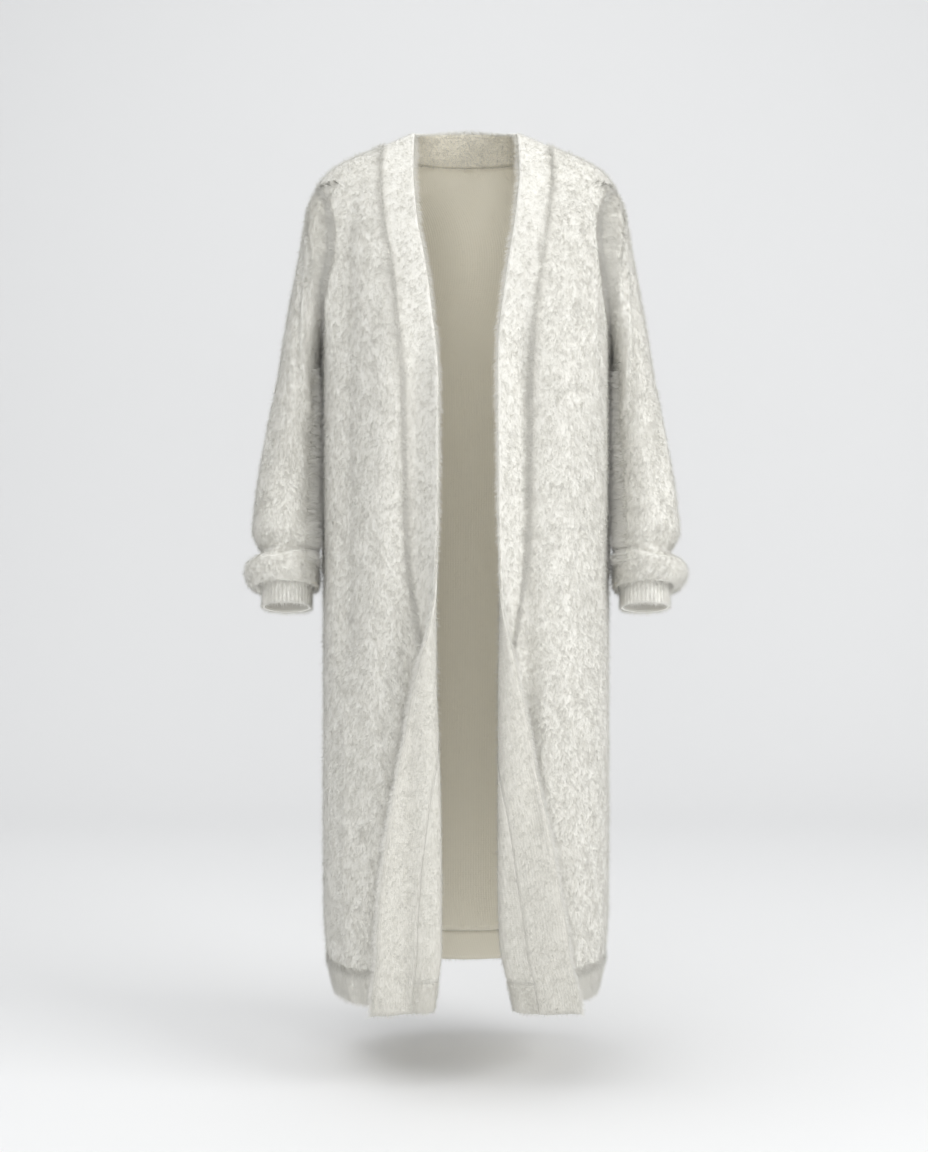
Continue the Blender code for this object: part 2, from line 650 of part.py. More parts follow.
def build_hem_rib(name, material, point, width_at, start, sign, seam_rows=None):
    """A ribbed strip under a panel. Its ribs are raised in the outer points alone.

    It starts at the band's seam where seam_rows says so, and else at a side seam.
    """
    end = SEAM_GAP / 2
    columns = 2 * round((width_at(RIB_TOP_Z) - start - end) / RIB_PITCH)
    share = np.arange(columns + 1) / columns
    rows = []
    for z in (HEM_Z, RIB_TOP_Z):
        places = mix(start, width_at(z) - end, share)
        rows.append([point(place, z) for place in places])
    points = np.array(rows)
    facing = flat_facing(grid_normals(points, sign), 2)
    raised = np.where(np.arange(columns + 1) % 2 == 0, -RIB_HEIGHT, 0.0)
    raised[0] = raised[-1] = -RIB_HEIGHT / 2
    facing[:, -1] = flat_facing(facing[:, -1], 1)
    if seam_rows:
        seam_points, seam_facing, seam_gap = band_seam()
        points[:, 0] = seam_points[seam_rows] - seam_gap[seam_rows]
        facing[:, 0] = seam_facing[seam_rows]
        raised[0] = 0.0
    else:
        facing[:, 0] = flat_facing(facing[:, 0], 1)
    points[1, :, 2] = RIB_TOP_Z - SEAM_GAP / 2
    inner = points - WALL * facing
    outer = points + raised[None, :, None] * facing
    return add_shell(name, outer, inner, material)


def build_front_rib(side, name, material):
    """The ribbed hem of a front, from the band seam to the side seam."""
    return build_hem_rib(
        name, material, lambda place, z: front_point(side, place, z),
        lambda z: front_width(side, z), BAND_WIDTH, side, [0, 1] if side < 0 else [-1, -2])


def build_back_rib(name, material):
    """The ribbed hem of the back, from side seam to side seam."""
    def point(place, z):
        from_centre = place - back_width(z)
        return back_point(math.copysign(1, from_centre), abs(from_centre), z)

    return build_hem_rib(
        name, material, point, lambda z: 2 * back_width(z), SEAM_GAP / 2, -1)


def sleeve_ring(side, section):
    """Points round a sleeve at a section, which may lie between the table's rows."""
    value = {name: float(curve(section)) for name, curve in SLEEVE_CURVES.items()}
    angles = 2 * math.pi * np.arange(SLEEVE_POINTS) / SLEEVE_POINTS
    middle_x = (value["outer_x"] + value["inner_x"]) / 2
    middle_z = (value["outer_z"] + value["inner_z"]) / 2
    half_x = (value["outer_x"] - value["inner_x"]) / 2
    half_z = (value["outer_z"] - value["inner_z"]) / 2
    x = middle_x - np.cos(angles) * half_x
    y = value["centre_y"] - np.sin(angles) * value["half_depth"]
    tilt = ease((TILT_FROM_Z - middle_z) / (TILT_FROM_Z - TILT_FULL_Z)) * math.tan(WRIST_TILT)
    z = middle_z - np.cos(angles) * half_z - (y - value["centre_y"]) * tilt
    return np.stack((side * x, y, z), axis=1)


SLEEVE_CURVES = {
    name: Curve(np.arange(len(values)) + 1.0, values) for name, values in SLEEVE.items()
}


def sleeve_lift(side, section):
    """How far a sleeve's folds lift its points at a section."""
    angles = 360.0 * np.arange(SLEEVE_POINTS) / SLEEVE_POINTS
    lift = np.zeros(SLEEVE_POINTS)
    for row in range(len(SLEEVE_FOLDS["side"])):
        fold = {name: values[row] for name, values in SLEEVE_FOLDS.items()}
        if fold["side"] not in (0, side):
            continue
        span = fold["section_bottom"] - fold["section_top"]
        share = (section - fold["section_top"]) / span
        centre = mix(fold["angle_top"], fold["angle_bottom"], np.clip(share, 0, 1))
        apart = (angles - centre + 180) % 360 - 180
        strength = math.sin(math.pi * min(max(share, 0.0), 1.0))
        lift += fold["height"] * strength * np.exp(-(apart / fold["spread"]) ** 2)
    return lift


def build_sleeve(side, name, material):
    """A sleeve from the armhole, puffed over the wrist and turned up to the cuff."""
    ring, ring_facing, across = armhole_ring(side)
    sections = np.arange(1, len(SLEEVE["outer_x"]) + 1)
    points = np.array([ring] + [sleeve_ring(side, section) for section in sections])
    facing = grid_normals(points, -side, closed=True)
    facing[0] = ring_facing
    for section in sections:
        points[section] += facing[section] * sleeve_lift(side, section)[:, None]
    points[0] += across * SEAM_GAP / 2
    return add_shell(name, points, points - WALL * facing, material, closed=True)


def build_cuff(side, name, material):
    """A ribbed tube that comes out of the sleeve's turned-up end."""
    count = 2 * CUFF_RIBS
    angles = 2 * math.pi * np.arange(count) / count
    outer, inner = [], []
    for row in range(len(CUFF["z"])):
        value = {name: values[row] for name, values in CUFF.items()}
        rings = []
        for depth in (np.where(np.arange(count) % 2 == 0, 0.0, RIB_HEIGHT), WALL):
            x = value["centre_x"] - np.cos(angles) * (value["half_width"] - depth)
            y = value["centre_y"] - np.sin(angles) * (value["half_depth"] - depth)
            z = value["z"] - (y - value["centre_y"]) * math.tan(WRIST_TILT)
            rings.append(np.stack((side * x, y, z), axis=1))
        outer.append(rings[0])
        inner.append(rings[1])
    return add_shell(name, np.array(outer), np.array(inner), material, closed=True)


def build():
    for old in list(bpy.data.objects):
        bpy.data.objects.remove(old)
    furry = {name: knit_material(name + "_knit", CREAM, 0.9) for name in (
        "back", "front_left", "front_right", "sleeve_left", "sleeve_right", "front_band")}
    build_back("back", furry["back"])
    build_band("front_band", furry["front_band"])
    build_back_rib("hem_rib_back", knit_material("hem_rib_back_knit", RIB_CREAM, 0.9))
    for side, word in ((1, "left"), (-1, "right")):
        build_front(side, "front_" + word, furry["front_" + word])
        build_sleeve(side, "sleeve_" + word, furry["sleeve_" + word])
        rib = knit_material("rib_knit_" + word, RIB_CREAM, 0.9)
        build_cuff(side, "cuff_" + word, rib)
        build_front_rib(side, "hem_rib_" + word, rib)


build()
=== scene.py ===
"""Looks of the long open-front cardigan: furry knit, reverse side, ribs, seams, light and camera.

The cloth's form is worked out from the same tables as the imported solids, at a finer step.
"""
import math
from functools import partial

import bpy
import numpy as np
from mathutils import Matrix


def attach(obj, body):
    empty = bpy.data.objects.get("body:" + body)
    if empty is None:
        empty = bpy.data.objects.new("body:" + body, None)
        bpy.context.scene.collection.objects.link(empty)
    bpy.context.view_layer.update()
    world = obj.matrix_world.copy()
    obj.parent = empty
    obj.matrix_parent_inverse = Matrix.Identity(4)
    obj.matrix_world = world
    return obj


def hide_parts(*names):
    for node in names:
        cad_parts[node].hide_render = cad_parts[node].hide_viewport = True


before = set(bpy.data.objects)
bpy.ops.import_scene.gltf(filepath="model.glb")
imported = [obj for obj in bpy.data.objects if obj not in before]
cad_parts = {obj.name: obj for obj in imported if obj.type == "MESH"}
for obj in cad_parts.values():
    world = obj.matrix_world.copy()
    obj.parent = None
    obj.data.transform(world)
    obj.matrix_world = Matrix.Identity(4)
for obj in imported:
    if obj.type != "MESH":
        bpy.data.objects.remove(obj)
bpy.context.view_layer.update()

WALL = 0.005                 # from the tips of the pile to the reverse side
GROUND_DEPTH = 0.0012        # depth of the thick of the pile under its mean height
PILE_ROOT = 0.0018           # depth of the roots of the strands
SEAM_GAP = 0.0003
BAND_WIDTH = 0.043
HEM_Z = -1.102
RIB_TOP_Z = -1.064
SHOULDER_TIP_Z = -0.065
UNDERARM_Z = -0.275
ARMHOLE_HALF_DEPTH = 0.076
NECK_SEAM_HALF = 0.110
NECK_SEAM_BACK_Z = -0.014
NECK_EDGE_HALF = 0.068
NECK_EDGE_DEPTH = 0.064
NECK_EDGE_RISE = 0.0165
EDGE_TURN = math.radians(160)
RIB_PITCH = 0.008
RIB_HEIGHT = 0.0012
RIB_ROOT = 0.0004            # depth of the roots of the strands on the ribs
CUFF_RECESS = 0.0012         # how far the ribs lie under the outside of the wall
HEM_RECESS = 0.0008
EDGE_ROOT = 0.0032           # depth of the middle of the wall, where the edge's hairs are rooted
FLOOR_Z = -1.20
CAMERA_PLACE = (-0.0026, -2.10, -0.572)

# Soft lamps: name, place, the point that each faces, size and power.
LAMPS = (
    ("key", (3.2, -1.9, 1.2), (0, 0, -0.5), 2.4, 88),
    ("top", (-1.0, -0.5, 2.4), (0, 0, -0.6), 3.6, 64),
    ("fill", (-0.1, -3.3, -0.4), (0, 0, -0.6), 1.6, 29),
)

LOWER_ROWS = 96              # rows from the hem rib to the underarm
UPPER_ROWS = 40              # rows from the underarm to the shoulder
HEM_ROWS = 8                 # rows of points from the hem to the top of its rib
FRONT_COLUMNS = 48
BAND_COLUMNS = 12
NECK_COLUMNS = 14
SHOULDER_COLUMNS = 16
ROLL_SHARE = 0.5             # share of a front's columns kept close to the band at the hem
ROLL_REACH = 0.060           # stretch of cloth beside the band that rolls at the hem
LEVELS = 360
SAMPLES = 361


def table(names, *rows):
    """Turn rows of numbers into one array for each named column."""
    return dict(zip(names.split(), np.array(rows).T))


def each_row(source):
    """The rows of a table, each by the names of its columns."""
    return [dict(zip(source, row)) for row in zip(*source.values())]


# Sections of the body, as rounded boxes: half width, depth before and behind, and squareness.
BODY = table(
    "z half_width front back squareness",
    (0.016, 0.052, 0.01, 0.056, 2.1),
    (0.01, 0.068, 0.017, 0.064, 2.1),
    (0.0, 0.09, 0.028, 0.075, 2.2),
    (-0.01, 0.112, 0.038, 0.084, 2.2),
    (-0.02, 0.136, 0.047, 0.091, 2.2),
    (-0.032, 0.162, 0.057, 0.097, 2.2),
    (-0.045, 0.181, 0.068, 0.102, 2.2),
    (-0.065, 0.194, 0.082, 0.108, 2.3),
    (-0.1, 0.197, 0.101, 0.115, 2.4),
    (-0.15, 0.196, 0.119, 0.121, 2.5),
    (-0.21, 0.192, 0.134, 0.126, 2.6),
    (-0.275, 0.187, 0.144, 0.128, 2.6),
    (-0.4, 0.1855, 0.151, 0.128, 2.6),
    (-0.6, 0.1855, 0.153, 0.128, 2.6),
    (-0.85, 0.1855, 0.153, 0.129, 2.7),
    (-1.0, 0.1845, 0.151, 0.13, 2.8),
    (-1.064, 0.1795, 0.147, 0.127, 2.9),
    (-1.102, 0.171, 0.141, 0.121, 3.0),
)

# Front edges: where the opening shows on each side, how much cloth rolls outwards, its radius.
EDGE = table(
    "z gap_right gap_left roll_right roll_left radius",
    (-0.065, 0.067, 0.068, 0.0, 0.0, 0.06),
    (-0.127, 0.061, 0.061, 0.0, 0.0, 0.06),
    (-0.17, 0.053, 0.054, 0.0, 0.0, 0.06),
    (-0.21, 0.0465, 0.048, 0.0, 0.0, 0.06),
    (-0.245, 0.042, 0.043, 0.008, 0.008, 0.06),
    (-0.283, 0.0365, 0.0385, 0.02, 0.02, 0.06),
    (-0.34, 0.032, 0.0365, 0.032, 0.032, 0.055),
    (-0.48, 0.0315, 0.0365, 0.036, 0.036, 0.045),
    (-0.56, 0.033, 0.0375, 0.036, 0.036, 0.028),
    (-0.62, 0.0345, 0.0385, 0.038, 0.038, 0.018),
    (-0.7, 0.0345, 0.0375, 0.046, 0.044, 0.0125),
    (-0.78, 0.032, 0.0375, 0.0595, 0.0555, 0.01),
    (-0.86, 0.03, 0.0375, 0.0725, 0.0685, 0.009),
    (-0.94, 0.029, 0.0375, 0.082, 0.08, 0.009),
    (-1.02, 0.029, 0.04, 0.086, 0.088, 0.009),
    (-1.064, 0.033, 0.049, 0.086, 0.088, 0.009),
    (-1.102, 0.038, 0.057, 0.083, 0.085, 0.009),
)

# Folds of the body. A station is 0 at the centre front, 1 at the side seam and 2 at the centre
# back, and is positive on the wearer's left. A height below 0 is a hollow.
FOLDS = table(
    "station_top station_bottom z_top z_bottom spread height",
    (-0.72, -0.72, -0.05, -0.34, 0.05, 0.005),
    (-0.6, -0.6, -0.03, -0.26, 0.045, -0.005),
    (-0.33, -0.46, -0.18, -1.1, 0.1, 0.008),
    (-0.59, -0.6, -0.12, -0.74, 0.07, -0.008),
    (-0.55, -0.55, -0.68, -1.3, 0.05, 0.004),
    (-0.215, -0.27, -0.24, -1.3, 0.05, -0.007),
    (0.26, 0.28, -0.2, -0.92, 0.05, -0.01),
    (0.46, 0.46, -0.24, -1.1, 0.08, 0.006),
    (0.64, 0.64, -0.05, -0.4, 0.04, 0.003),
    (0.42, 0.42, -0.7, -1.3, 0.05, -0.003),
    (1.45, 1.42, -0.3, -1.3, 0.1, -0.005),
    (-1.45, -1.42, -0.3, -1.3, 0.1, -0.005),
    (1.75, 1.78, -0.3, -1.3, 0.1, 0.004),
    (-1.75, -1.78, -0.34, -1.3, 0.1, 0.004),
    (2.0, 2.0, -0.28, -1.3, 0.12, -0.004),
    (1.18, 1.2, -0.4, -1.3, 0.08, 0.004),
    (-1.18, -1.2, -0.4, -1.3, 0.08, 0.004),
)
FOLD_FADE = 0.12

# Sections of the sleeve at +X, from the armhole to the end that turns up inside the puff.
SLEEVE = table(
    "outer_x outer_z inner_x inner_z half_depth centre_y",
    (0.2035, -0.085, 0.1875, -0.283, 0.078, 0.001),
    (0.211, -0.113, 0.1885, -0.292, 0.076, 0.002),
    (0.218, -0.152, 0.1895, -0.305, 0.073, 0.003),
    (0.228, -0.203, 0.1895, -0.325, 0.069, 0.004),
    (0.238, -0.257, 0.1895, -0.35, 0.066, 0.004),
    (0.247, -0.315, 0.1895, -0.385, 0.063, 0.002),
    (0.256, -0.37, 0.1895, -0.425, 0.061, -0.003),
    (0.265, -0.425, 0.1895, -0.465, 0.059, -0.01),
    (0.273, -0.475, 0.1895, -0.5, 0.058, -0.018),
    (0.2765, -0.515, 0.1895, -0.525, 0.056, -0.028),
    (0.27, -0.533, 0.19, -0.537, 0.05, -0.032),
    (0.2625, -0.544, 0.1935, -0.545, 0.045, -0.034),
    (0.27, -0.551, 0.1895, -0.551, 0.048, -0.035),
    (0.2835, -0.56, 0.1885, -0.562, 0.053, -0.037),
    (0.286, -0.57, 0.1885, -0.573, 0.054, -0.038),
    (0.282, -0.582, 0.189, -0.584, 0.05, -0.04),
    (0.273, -0.59, 0.192, -0.59, 0.044, -0.041),
    (0.266, -0.586, 0.1945, -0.586, 0.036, -0.041),
    (0.264, -0.578, 0.1955, -0.578, 0.034, -0.04),
)
SLEEVE_POINTS = 72
SLEEVE_STEPS = 5             # rings between two of the table's sections
INNER_COLUMNS = 24           # columns of the side that faces the body, where more pile stands
WALE_PITCH = 0.0034          # from one wale of the knit to the next
COURSE_PITCH = 0.0026        # from one course of the knit to the next
WRIST_TILT = math.radians(15)
TILT_FROM_Z = -0.36
TILT_FULL_Z = -0.55

# Folds of a sleeve: angle round it (0 under, 90 front, 180 outside, 270 back), section from and
# to, spread, height, and the side that has it (0 is both).
SLEEVE_FOLDS = table(
    "angle_top angle_bottom section_top section_bottom spread height side",
    (150, 60, 2.0, 6.5, 16, -0.006, 0),
    (125, 35, 2.6, 6.8, 18, 0.004, 0),
    (100, 100, 0.5, 3.5, 14, -0.003, 0),
    (205, 235, 1.5, 6.5, 24, -0.004, 0),
    (250, 290, 3.5, 8.5, 26, 0.003, 0),
    (140, 120, 6.5, 9.8, 18, -0.004, 1),
    (70, 110, 6.8, 9.8, 18, -0.004, -1),
    (165, 150, 6.0, 9.5, 16, 0.003, 0),
    (60, 110, 11.6, 13.8, 16, -0.003, 0),
    (200, 240, 11.4, 13.6, 18, -0.003, 0),
)

# The cuff at +X: heights of its sections, their centre, radii and forward tilt.
CUFF = table(
    "z centre_x centre_y half_width half_depth",
    (-0.571, 0.2298, -0.04, 0.0322, 0.032),
    (-0.592, 0.2298, -0.044, 0.0324, 0.0312),
    (-0.612, 0.2298, -0.0485, 0.033, 0.03),
)
CUFF_RIBS = 36
RIB_STEPS = 6                # points across one rib


class Curve:
    """A smooth curve through one column of a table, which never overshoots its rows."""

    def __init__(self, keys, values):
        order = np.argsort(keys)
        self.keys = np.asarray(keys, float)[order]
        self.values = np.asarray(values, float)[order]
        width = np.diff(self.keys)
        grade = np.diff(self.values) / width
        before, after = grade[:-1], grade[1:]
        turning = before * after <= 0
        product = np.where(turning, 1.0, before * after)
        total = np.where(turning, 1.0, before + after)
        inner = np.where(turning, 0.0, 2 * product / total)
        self.slopes = np.concatenate(([grade[0]], inner, [grade[-1]]))

    def __call__(self, key):
        key = np.clip(key, self.keys[0], self.keys[-1])
        at = np.clip(np.searchsorted(self.keys, key) - 1, 0, len(self.keys) - 2)
        width = self.keys[at + 1] - self.keys[at]
        t = (key - self.keys[at]) / width
        start, end = self.values[at], self.values[at + 1]
        lean_start, lean_end = self.slopes[at] * width, self.slopes[at + 1] * width
        bend = 2 * (start - end) + lean_start + lean_end
        return ((bend * t + 3 * (end - start) - 2 * lean_start - lean_end) * t + lean_start) * t + start


def curves(source, key):
    """Make a curve for each column of a table, all read by the same key."""
    return {name: Curve(source[key], values) for name, values in source.items() if name != key}


BODY_CURVES = curves(BODY, "z")
EDGE_CURVES = curves(EDGE, "z")
SLEEVE_CURVES = {
    name: Curve(np.arange(len(values)) + 1.0, values) for name, values in SLEEVE.items()
}


def mix(start, end, share):
    return start + (end - start) * share


def ease(value):
    """Go smoothly from 0 to 1 while the value does."""
    value = np.clip(value, 0.0, 1.0)
    return value * value * (3 - 2 * value)


def between(grid, row, column, down, over):
    """Read a grid between four neighbours."""
    low = mix(grid[row, column], grid[row, column + 1], over)
    high = mix(grid[row + 1, column], grid[row + 1, column + 1], over)
    return mix(low, high, down)


def unit(vectors):
    return vectors / np.maximum(np.linalg.norm(vectors, axis=-1, keepdims=True), 1e-12)


SHOULDER_HEIGHTS = np.linspace(SHOULDER_TIP_Z, BODY["z"][0], 400)[::-1]
SHOULDER_WIDTHS = BODY_CURVES["half_width"](SHOULDER_HEIGHTS)


def shoulder_line(x):
    """Height of the shoulder's ridge at a distance from the middle."""
    return np.interp(x, SHOULDER_WIDTHS, SHOULDER_HEIGHTS)


def shoulder_facing(side, x):
    """Outward directions along the shoulder's ridge, shared by the front and the back."""
    slope = (shoulder_line(x + 0.004) - shoulder_line(x - 0.004)) / 0.008
    return unit(np.stack((-side * slope, np.zeros_like(x), np.ones_like(x)), axis=-1))


def rounded(share, z):
    """How far the body's section reaches one way, as a share, at a share of its reach the other way."""
    power = BODY_CURVES["squareness"](z)
    return np.clip(1 - share ** power, 0, 1) ** (1 / power)


def section_depth(y, z):
    """Depth of the body's section on the side, before or behind, where y lies."""
    return np.where(y < 0, BODY_CURVES["front"](z), BODY_CURVES["back"](z))


def ring_point(turn, z):
    """A point of the body's section in plan, from 0 at the centre front to pi at the back."""
    across, along = np.sin(turn), -np.cos(turn)
    depth = section_depth(along, z)
    power = BODY_CURVES["squareness"](z)
    half = BODY_CURVES["half_width"](z)
    reach = (np.abs(across / half) ** power + np.abs(along / depth) ** power) ** (-1 / power)
    return reach * across, reach * along


class Section:
    """The body's sections, read both by angle and by length along them."""

    def __init__(self):
        self.z = np.linspace(HEM_Z - 0.002, BODY["z"][0], LEVELS)
        turn = np.linspace(0, math.pi, SAMPLES)
        x, y = ring_point(turn[None, :], self.z[:, None])
        steps = np.hypot(np.diff(x), np.diff(y))
        self.length = np.concatenate((np.zeros((LEVELS, 1)), np.cumsum(steps, axis=1)), axis=1)
        share = np.linspace(0, 1, SAMPLES)
        rows = [np.interp(share * row[-1], row, turn) for row in self.length]
        self.turn = np.array(rows)

    def read(self, grid, z, share):
        """Read a grid between its levels and between its samples."""
        level = np.clip((z - self.z[0]) / (self.z[1] - self.z[0]), 0, LEVELS - 1.001)
        place = np.clip(share * (SAMPLES - 1), 0, SAMPLES - 1.001)
        level, place = np.broadcast_arrays(level, place)
        row, column = level.astype(int), place.astype(int)
        return between(grid, row, column, level - row, place - column)

    def total(self, z):
        return np.interp(z, self.z, self.length[:, -1])

    def side(self, z):
        return np.interp(z, self.z, self.length[:, SAMPLES // 2])

    def turn_at(self, length, z):
        return self.read(self.turn, z, length / self.total(z))

    def length_at(self, turn, z):
        return self.read(self.length, z, turn / math.pi)


SECTION = Section()


def fold_height(station, z):
    """How far all folds together lift the cloth at a station and height."""
    lift = np.zeros(np.broadcast(station, z).shape)
    for fold in each_row(FOLDS):
        share = np.clip((fold["z_top"] - z) / (fold["z_top"] - fold["z_bottom"]), 0, 1)
        centre = mix(fold["station_top"], fold["station_bottom"], share)
        apart = (station - centre + 2) % 4 - 2
        fade = ease((fold["z_top"] - z) / FOLD_FADE) * ease((z - fold["z_bottom"]) / FOLD_FADE)
        lift = lift + fold["height"] * fade * np.exp(-(apart / fold["spread"]) ** 2)
    return lift


def lifted_point(side, length, z, lift=0.0):
    """A point of the body's surface at a distance from the centre front, lifted off the section."""
    turn = SECTION.turn_at(length, z)
    x, y = ring_point(turn, z)
    depth = section_depth(y, z)
    power = BODY_CURVES["squareness"](z)
    half = BODY_CURVES["half_width"](z)
    out_x = np.abs(x / half) ** (power - 1) / half
    out_y = np.sign(y) * np.abs(y / depth) ** (power - 1) / depth
    size = np.hypot(out_x, out_y)
    middle, total = SECTION.side(z), SECTION.total(z)
    station = np.where(length < middle, length / middle, 1 + (length - middle) / (total - middle))
    rise = lift + fold_height(side * station, z)
    return np.stack(np.broadcast_arrays(side * (x + out_x / size * rise), y + out_y / size * rise, z), -1)


def edge_values(side, z):
    """Where the front edge starts to roll, how much cloth rolls, and its radius."""
    name = "left" if side > 0 else "right"
    gap, roll = EDGE_CURVES["gap_" + name](z), EDGE_CURVES["roll_" + name](z)
    radius = EDGE_CURVES["radius"](z)
    start_x = gap + (radius + WALL) * np.sin(np.minimum(roll / radius, math.pi / 2))
    return front_length_at(start_x, z), roll, radius


def front_length_at(x, z):
    """Distance from the centre front along the section to where it reaches x."""
    y = BODY_CURVES["front"](z) * rounded(x / BODY_CURVES["half_width"](z), z)
    return SECTION.length_at(np.arctan2(x, y), z)


def front_point(side, distance, z):
    """A point of a front, at a distance along the cloth from its free edge."""
    start, roll, radius = edge_values(side, z)
    rolled = roll - distance
    turn = np.clip(rolled / radius, 0, EDGE_TURN)
    flat = np.maximum(rolled - radius * EDGE_TURN, 0.0)
    before = np.minimum(rolled, 0.0)
    length = start - before - radius * np.sin(turn) - flat * np.cos(turn)
    lift = radius * (1 - np.cos(turn)) + flat * np.sin(turn)
    return lifted_point(side, length, z, lift)


def armhole_depth(z):
    """Half of the armhole's depth at a height between underarm and shoulder tip."""
    middle = (UNDERARM_Z + SHOULDER_TIP_Z) / 2
    half = (SHOULDER_TIP_Z - UNDERARM_Z) / 2
    return ARMHOLE_HALF_DEPTH * np.sqrt(np.maximum(0.0, 1 - ((z - middle) / half) ** 2))


def length_at_depth(face, depth, z):
    """Distance along the section to a depth before (-1) or behind (1) the side seam."""
    x = BODY_CURVES["half_width"](z) * rounded(depth / section_depth(face, z), z)
    return SECTION.length_at(np.arctan2(x, -face * depth), z)


def front_width(side, z):
    """Length of the cloth from the free edge to the side seam or the armhole."""
    start, roll, _ = edge_values(side, z)
    return length_at_depth(-1, armhole_depth(z), z) - start + roll


def back_width(z):
    """Length of the cloth from the centre back to the side seam or the armhole."""
    return SECTION.total(z) - length_at_depth(1, armhole_depth(z), z)


def dome_point(side, face, x, z):
    """A point near the shoulder, at a distance x from the middle; face is -1 before, 1 behind."""
    y = face * section_depth(face, z) * rounded(x / BODY_CURVES["half_width"](z), z)
    return np.stack(np.broadcast_arrays(side * x, y, z), -1)


def shoulder_places(columns):
    """Distances from the middle where the columns meet the shoulder line, from neck to tip."""
    share = np.sin(math.pi / 2 * np.arange(columns + 1) / columns)
    return mix(NECK_SEAM_HALF, BODY_CURVES["half_width"](SHOULDER_TIP_Z), share)


def front_shares(side, z):
    """Places of a front panel's columns, from 0 at the band seam to 1 at the side."""
    z = np.asarray(z, float)[..., None]
    even = np.arange(FRONT_COLUMNS + 1) / FRONT_COLUMNS
    start, _, _ = edge_values(side, SHOULDER_TIP_Z)
    places = front_length_at(shoulder_places(FRONT_COLUMNS), SHOULDER_TIP_Z) - start
    top = (places - places[0]) / (places[-1] - places[0])
    reach = ROLL_REACH / (front_width(side, z) - BAND_WIDTH)
    hem = np.where(even < ROLL_SHARE, even / ROLL_SHARE * reach,
                   mix(reach, 1, (even - ROLL_SHARE) / (1 - ROLL_SHARE)))
    upper = mix(top, even, ease((SHOULDER_TIP_Z - z) / 0.14))
    return mix(upper, hem, ease((-0.40 - z) / 0.35))


def panel_grid(at, dome, tops):
    """Points of a panel: even rows up to the underarm, then rows up to each column's own top."""
    heights = np.linspace(RIB_TOP_Z, UNDERARM_Z, LOWER_ROWS + 1)
    points = [at(np.repeat(heights[:, None], len(tops), axis=1))]
    for row in range(1, UPPER_ROWS + 1):
        z = mix(UNDERARM_Z, tops, (1 - math.cos(math.pi * row / UPPER_ROWS)) / 2)
        low = at(np.minimum(z, SHOULDER_TIP_Z))
        high = dome(np.maximum(z, SHOULDER_TIP_Z))
        points.append(np.where((z <= SHOULDER_TIP_Z)[:, None], low, high)[None])
    return np.concatenate(points)


def front_grid(side, distances, shoulder_x):
    """Points of a front from the rib's top to the shoulder."""
    tops = shoulder_line(shoulder_x)
    tip_z = np.full(len(shoulder_x), SHOULDER_TIP_Z)
    tip_x = side * front_point(side, distances(tip_z), tip_z)[:, 0]

    def at(z):
        return front_point(side, distances(z), z)

    def dome(z):
        share = (z - SHOULDER_TIP_Z) / np.maximum(tops - SHOULDER_TIP_Z, 1e-6)
        return dome_point(side, -1, mix(tip_x, shoulder_x, np.clip(share, 0, 1)), z)

    return panel_grid(at, dome, tops)


def front_distances(side):
    """Where a front panel's columns lie along the cloth at each column's height."""
    columns = np.arange(FRONT_COLUMNS + 1)

    def distances(z):
        z = np.asarray(z, float)
        shares = front_shares(side, z)
        own = np.take_along_axis(shares, np.broadcast_to(columns, z.shape)[..., None], -1)[..., 0]
        return BAND_WIDTH + own * (front_width(side, z) - BAND_WIDTH)

    return distances


def back_places():
    """Distances from the middle where the back's columns end at the neck seam and the shoulder."""
    angle = math.pi / 2 * np.arange(NECK_COLUMNS) / NECK_COLUMNS
    return np.concatenate((NECK_SEAM_HALF * np.sin(angle), shoulder_places(SHOULDER_COLUMNS)))


def back_top(x):
    """Height where the back ends: the neck seam, or past it the shoulder line."""
    neck = mix(NECK_SEAM_BACK_Z, shoulder_line(NECK_SEAM_HALF), (x / NECK_SEAM_HALF) ** 2)
    return np.where(x >= NECK_SEAM_HALF, shoulder_line(x), neck)


def back_half(side):
    """Points of half of the back, from its centre to the side, rows from the hem up."""
    x = back_places()
    tip = SHOULDER_TIP_Z
    behind = length_at_depth(1, dome_point(1, 1, x, tip)[:, 1], tip)
    top = (SECTION.total(tip) - behind) / back_width(tip)
    top[0], top[-1] = 0.0, 1.0
    even = np.arange(len(x)) / (len(x) - 1)

    def at(z):
        places = mix(top, even, ease((tip - z) / 0.20)) * back_width(z)
        return lifted_point(side, SECTION.total(z) - places, z)

    def dome(z):
        return dome_point(side, 1, x, z)

    return panel_grid(at, dome, back_top(x))


def armhole_ring(side, count):
    """Points of the armhole's seam, the way its wall faces there, and the way to the sleeve."""
    angles = 2 * math.pi * np.arange(count) / count
    middle = (UNDERARM_Z + SHOULDER_TIP_Z) / 2
    z = middle - (SHOULDER_TIP_Z - UNDERARM_Z) / 2 * np.cos(angles)
    y = -ARMHOLE_HALF_DEPTH * np.sin(angles)
    x = BODY_CURVES["half_width"](z) * rounded(np.abs(y) / section_depth(y, z), z)
    points = np.stack((side * x, y, z), axis=1)
    lean = 0.225 * (1 - np.cos(angles)) + 2.5 * ((1 - np.cos(angles)) / 2) ** 4
    facing = unit(np.stack((side * lean, -np.sin(angles), -np.cos(angles)), axis=1))
    along = unit(np.roll(points, -1, axis=0) - np.roll(points, 1, axis=0))
    across = unit(np.cross(facing, along))
    return points, facing, across * np.sign(across[:, :1] * side)


def grid_normals(points, sign, closed=False):
    """Unit normals of a grid of points, from its neighbours."""
    if closed:
        across = np.roll(points, -1, axis=1) - np.roll(points, 1, axis=1)
    else:
        across = np.gradient(points, axis=1)
    return unit(np.cross(across, np.gradient(points, axis=0))) * sign


